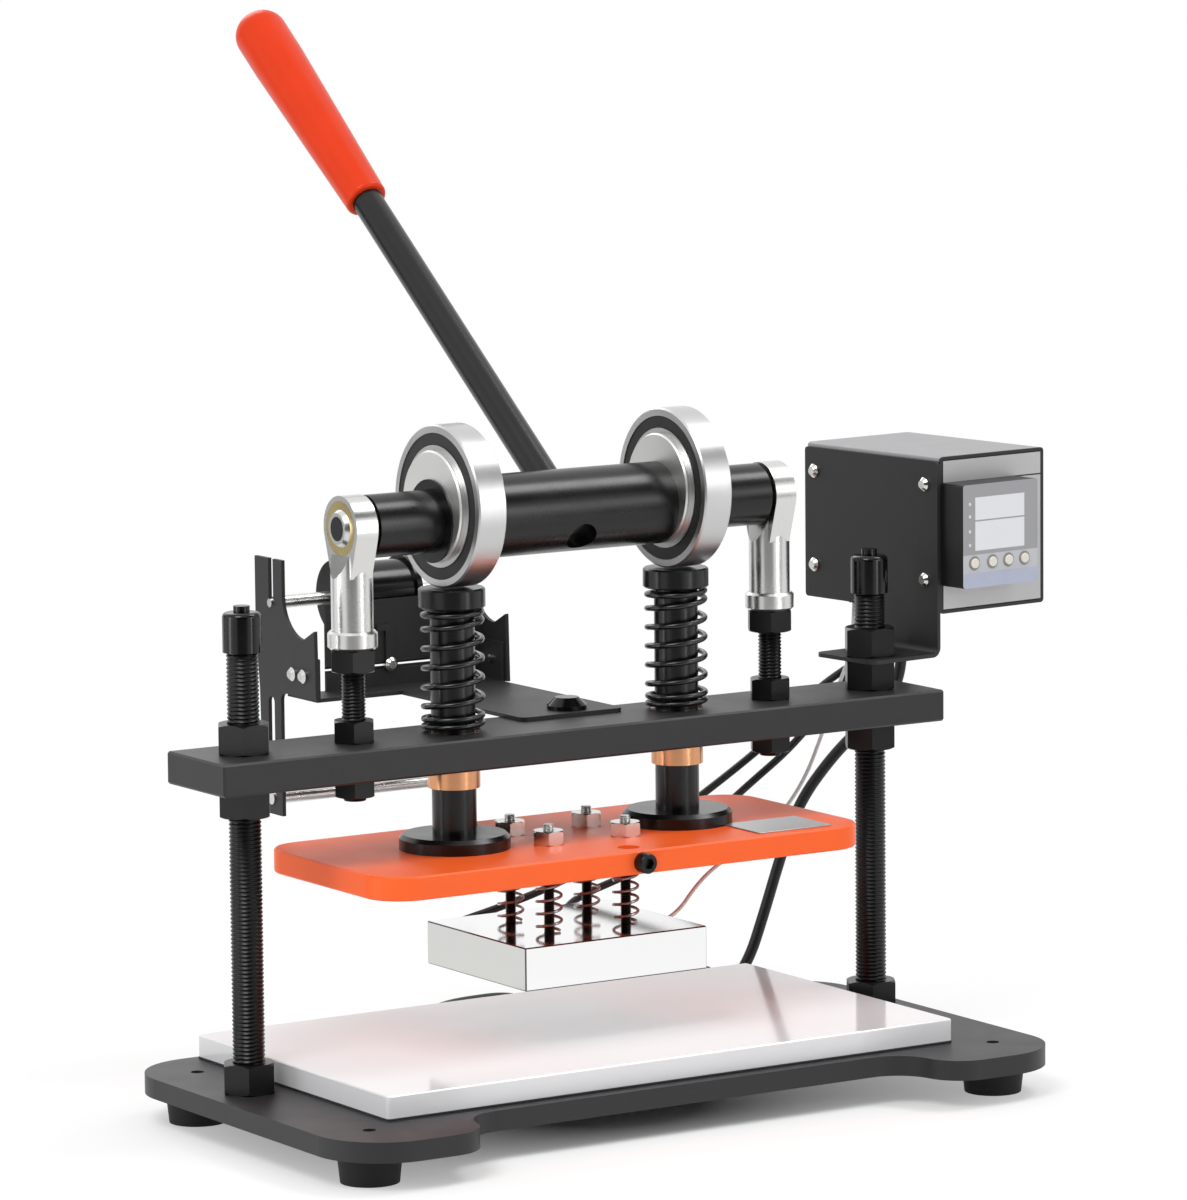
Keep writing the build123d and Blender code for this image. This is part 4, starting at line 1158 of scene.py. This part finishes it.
@dataclass(frozen=True)
class MainsCord:
    """The mains cord: down from its gland, wound into a flat coil, and on to its plug.

    Sizes are in millimetres, and the length in metres.
    """

    radius: float = 3.0
    gland: Point = (44.0, 80.0, 201.2)
    gland_straight: float = 14.0
    floor_gap: float = 0.1
    coil_centre: Pair = (60.0, 150.0)
    least_radius: float = 24.5
    turns: float = 2.75
    spread: float = 6.8
    climb_turns: float = 0.5
    low: float = 3.9
    points_per_turn: int = 16
    plug_y: float = 170.0
    plug_z: float = 10.0
    length: float = 1.61

    def coil(self) -> list[Point]:
        """The coil's control points: in along the floor, up a layer, and out again.

        The distance from the middle grows by spread with each turn away from the reversal, and
        swell makes up for what a spline of order three cuts inside its points.

        Returns:
            The points, in millimetres.
        """
        count = int(2 * self.turns * self.points_per_turn) + 1
        turn = np.linspace(-self.turns, self.turns, count)
        share = np.clip(turn / self.climb_turns + 0.5, 0, 1)
        climb = share * share * (3 - 2 * share)
        swell = 1 / (0.75 + 0.25 * math.cos(2 * math.pi / self.points_per_turn))
        reach = (self.least_radius + self.spread * np.abs(turn)) * swell
        angle = 2 * math.pi * turn
        x = self.coil_centre[0] + reach * np.cos(angle)
        y = self.coil_centre[1] - reach * np.sin(angle)
        return list(zip(x.tolist(), y.tolist(), (self.low + self.spread * climb).tolist()))

    def beside(self, x: float, side: int) -> Point:
        """A point on the line along which the cord runs into the coil's outer turn.

        Args:
            x: Its place along the press.
            side: Minus one in front of the coil, on the floor, or one behind it, a layer up.

        Returns:
            The point, in millimetres.
        """
        edge = self.least_radius + self.spread * self.turns
        slope = self.spread / (2 * math.pi * edge)
        reach = edge + (x - self.coil_centre[0]) * slope
        height = self.low if side < 0 else self.low + self.spread
        return (x, self.coil_centre[1] + side * reach, height)

    def build(self) -> None:
        """Makes the cord and dresses what is on it."""
        start = box_point(*self.gland)
        down = self.radius + self.floor_gap
        feed = [
            start, (start[0], start[1], start[2] - self.gland_straight), (249.5, 74.5, 172),
            (242, 86, 157), (231, 100, 140), (215.5, 112, 113), (206, 116, 83), (198, 119, 55),
            (189, 122, 27), (170, 122.5, down + 6), (148, 119, down), (124, 113, down + 0.2),
            self.beside(96, -1), self.beside(76, -1),
        ]
        tail = [
            self.beside(84, 1), (101, 188, down + 1.4), (117, 179, down), (131, 172.5, 6.5),
            (144, self.plug_y, self.plug_z), (157, self.plug_y, self.plug_z),
        ]
        points = tuple(feed + self.coil() + tail)
        radius = self.radius * MM
        route = Route("mains_cord", points, radius, Coat.CORD, "cord_black", Body.ROOT)
        cord = route.build()
        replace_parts(cord, "mains_cord_feed", "mains_cord_coil", "mains_cord_tail")
        dress(Coat.CORD, "plug_body", "cord_tie")
        dress(Coat.BRASS, "plug_blades")
        route.start()
        2 * radius


def facing(place: Point, axis: str) -> Matrix:
    """Where a thing stands so that one of its axes points at the press.

    Args:
        place: Its place.
        axis: The axis that points.

    Returns:
        Its place and turn.
    """
    turn = (AIM - Vector(place)).to_track_quat(axis, "Y")
    return Matrix.Translation(place) @ turn.to_matrix().to_4x4()


def flat(name: str, outline: Array) -> bpy.types.Mesh:
    """A mesh of one face: its outline at height nought.

    Args:
        name: The mesh's name.
        outline: The outline's points, one row each.

    Returns:
        The mesh.
    """
    mesh = bpy.data.meshes.new(name)
    points = np.column_stack([outline, 0 * outline[:, 0]])
    mesh.from_pydata(points.tolist(), [], [list(range(len(points)))])
    return mesh


@dataclass(frozen=True)
class Lamp:
    """A square soft lamp that faces the press, with its power in watts."""

    name: str
    place: Point
    side: float
    power: float

    def build(self) -> None:
        """Hangs the lamp."""
        data = bpy.data.lights.new(self.name, "AREA")
        data.size = self.side
        data.energy = self.power
        add(self.name, data).matrix_world = facing(self.place, "-Z")


@dataclass(frozen=True)
class Card:
    """A card that only glossy surfaces see, with a glow of one where it is white."""

    name: str
    centre: Point
    width: float
    height: float
    glow: float = 0.02
    corner: float = 0.02

    def build(self) -> None:
        """Stands the card up, facing the press."""
        mesh = flat(self.name, rounded_outline(self.width, self.height, self.corner, 3))
        recipe = Recipe(bpy.data.materials.new(self.name))
        light = {"Color": WHITE, "Strength": self.glow}
        recipe.output(recipe.node("ShaderNodeEmission", inputs=light))
        mesh.materials.append(recipe.owner)
        made = add(self.name, mesh)
        made.matrix_world = facing(self.centre, "Z")
        made.visible_camera = False
        made.visible_diffuse = False
        made.visible_shadow = False
        made.visible_transmission = False


@dataclass(frozen=True)
class Studio:
    """A white floor, soft lamps, dark cards for the metal to mirror, and the camera."""

    place: Point = (-1.7097, -2.6802, 0.6715)
    azimuth: float = math.radians(-32.53)
    elevation: float = math.radians(7.50)
    roll: float = math.radians(-0.56)
    lens: float = 198.03
    sensor: float = 36.0
    sight: float = 50.0
    sky: float = 0.6
    floor_radius: float = 8.0
    floor_points: int = 96
    floor_colour: tuple = (0.97, 0.97, 0.97, 1.0)
    fade_start: float = 0.05
    fade_end: float = 0.42
    lamps: tuple[Lamp, ...] = (
        Lamp("key_lamp", (-1.6, -0.9, 2.4), side=1.2, power=34),
        Lamp("top_lamp", (1.2, -0.3, 2.2), side=0.8, power=15),
        Lamp("back_lamp", (0.4, 2.4, 2.0), side=1.4, power=16),
        Lamp("front_lamp", (1.18, -1.86, 0.9), side=0.6, power=2.6),
        Lamp("side_lamp", (-2.2, 0.3, 0.5), side=1.0, power=4),
    )
    cards: tuple[Card, ...] = (
        Card("card_camera", (-0.62, -0.97, 0.5), width=1.4, height=1.0),
        Card("card_front", (0.95, -1.5, 0.12), width=0.9, height=0.26),
        Card("card_high", (0.75, -1.18, 1.75), width=1.2, height=0.9),
        Card("card_back", (-0.9, 1.45, 0.5), width=0.34, height=1.0),
        Card("strip_right", (0.5, -1.2, 0.35), width=0.13, height=0.7, glow=7.0),
        Card("strip_left", (-1.27, 0.28, 0.35), width=0.16, height=0.7, glow=7.0),
    )

    def camera(self) -> None:
        """Sets the camera where the photograph was taken from."""
        a, e, r = self.azimuth, self.elevation, self.roll
        back = Vector((math.sin(a) * math.cos(e), -math.cos(a) * math.cos(e), math.sin(e)))
        right = Vector((math.cos(a), math.sin(a), 0))
        up = back.cross(right)
        turned_right = right * math.cos(r) + up * math.sin(r)
        turned_up = up * math.cos(r) - right * math.sin(r)
        data = bpy.data.cameras.new("camera")
        data.lens = self.lens
        data.sensor_width = self.sensor
        data.sensor_fit = "HORIZONTAL"
        data.clip_end = self.sight
        made = add("camera", data)
        turn = Matrix((turned_right, turned_up, back)).transposed()
        made.matrix_world = Matrix.Translation(self.place) @ turn.to_4x4()
        bpy.context.scene.camera = made

    def seen(self, recipe: Recipe) -> Shade:
        """One for rays that show the background: from the camera, a gloss or a glass.

        Args:
            recipe: The recipe that asks.

        Returns:
            One or nought.
        """
        path = recipe.node("ShaderNodeLightPath").socket.node.outputs
        rays = ("Is Camera Ray", "Is Glossy Ray", "Is Transmission Ray")
        camera, gloss, glass = (Shade(recipe, path[ray]) for ray in rays)
        return (camera + gloss + glass) > 0.5

    def world(self) -> None:
        """A white sky that lights the press at an even level."""
        world = bpy.data.worlds.new("sky")
        bpy.context.scene.world = world
        recipe = Recipe(world)
        strength = self.sky + self.seen(recipe) * (1 - self.sky)
        light = {"Color": WHITE, "Strength": strength}
        recipe.output(recipe.node("ShaderNodeBackground", inputs=light))

    def floor(self) -> None:
        """A round floor that keeps the shadow near the press and fades to white."""
        around = np.linspace(0, 2 * math.pi, self.floor_points, endpoint=False)
        rim = self.floor_radius * np.column_stack([np.cos(around), np.sin(around)])
        recipe = Recipe(bpy.data.materials.new("floor_white"))
        x, y, _ = recipe.parts(recipe.place())
        away = ((x * x + y * y).root() - self.fade_start) * (1 / (self.fade_end - self.fade_start))
        share = recipe.node("ShaderNodeClamp", inputs={"Value": away, "Min": 0.0, "Max": 1.0})
        matte = recipe.node("ShaderNodeBsdfDiffuse", inputs={"Color": self.floor_colour})
        light = {"Color": WHITE, "Strength": 1.0}
        white = recipe.node("ShaderNodeEmission", inputs=light)
        blend = [share * self.seen(recipe), matte, white]
        recipe.output(recipe.node("ShaderNodeMixShader", inputs=blend))
        mesh = flat("floor", rim)
        mesh.materials.append(recipe.owner)
        add("floor", mesh)

    def build(self) -> None:
        """Sets up the whole studio."""
        self.camera()
        self.world()
        self.floor()
        for thing in self.lamps + self.cards:
            thing.build()
        bpy.context.scene.view_settings.view_transform = "Standard"


def main() -> None:
    """Builds the press group by group, then the studio."""
    logging.basicConfig(level=logging.INFO, format="%(name)s: %(message)s")
    groups = (
        Base(), Standards(), CamDrive(), PlungerSprings(), PressPlate(), Heater(), FoilHolder(),
        Controller(), Leads(), MainsCord(), Studio(),
    )
    for group in groups:
        group.build()
        log.info("built %s", type(group).__name__)


if __name__ == "__main__":
    main()
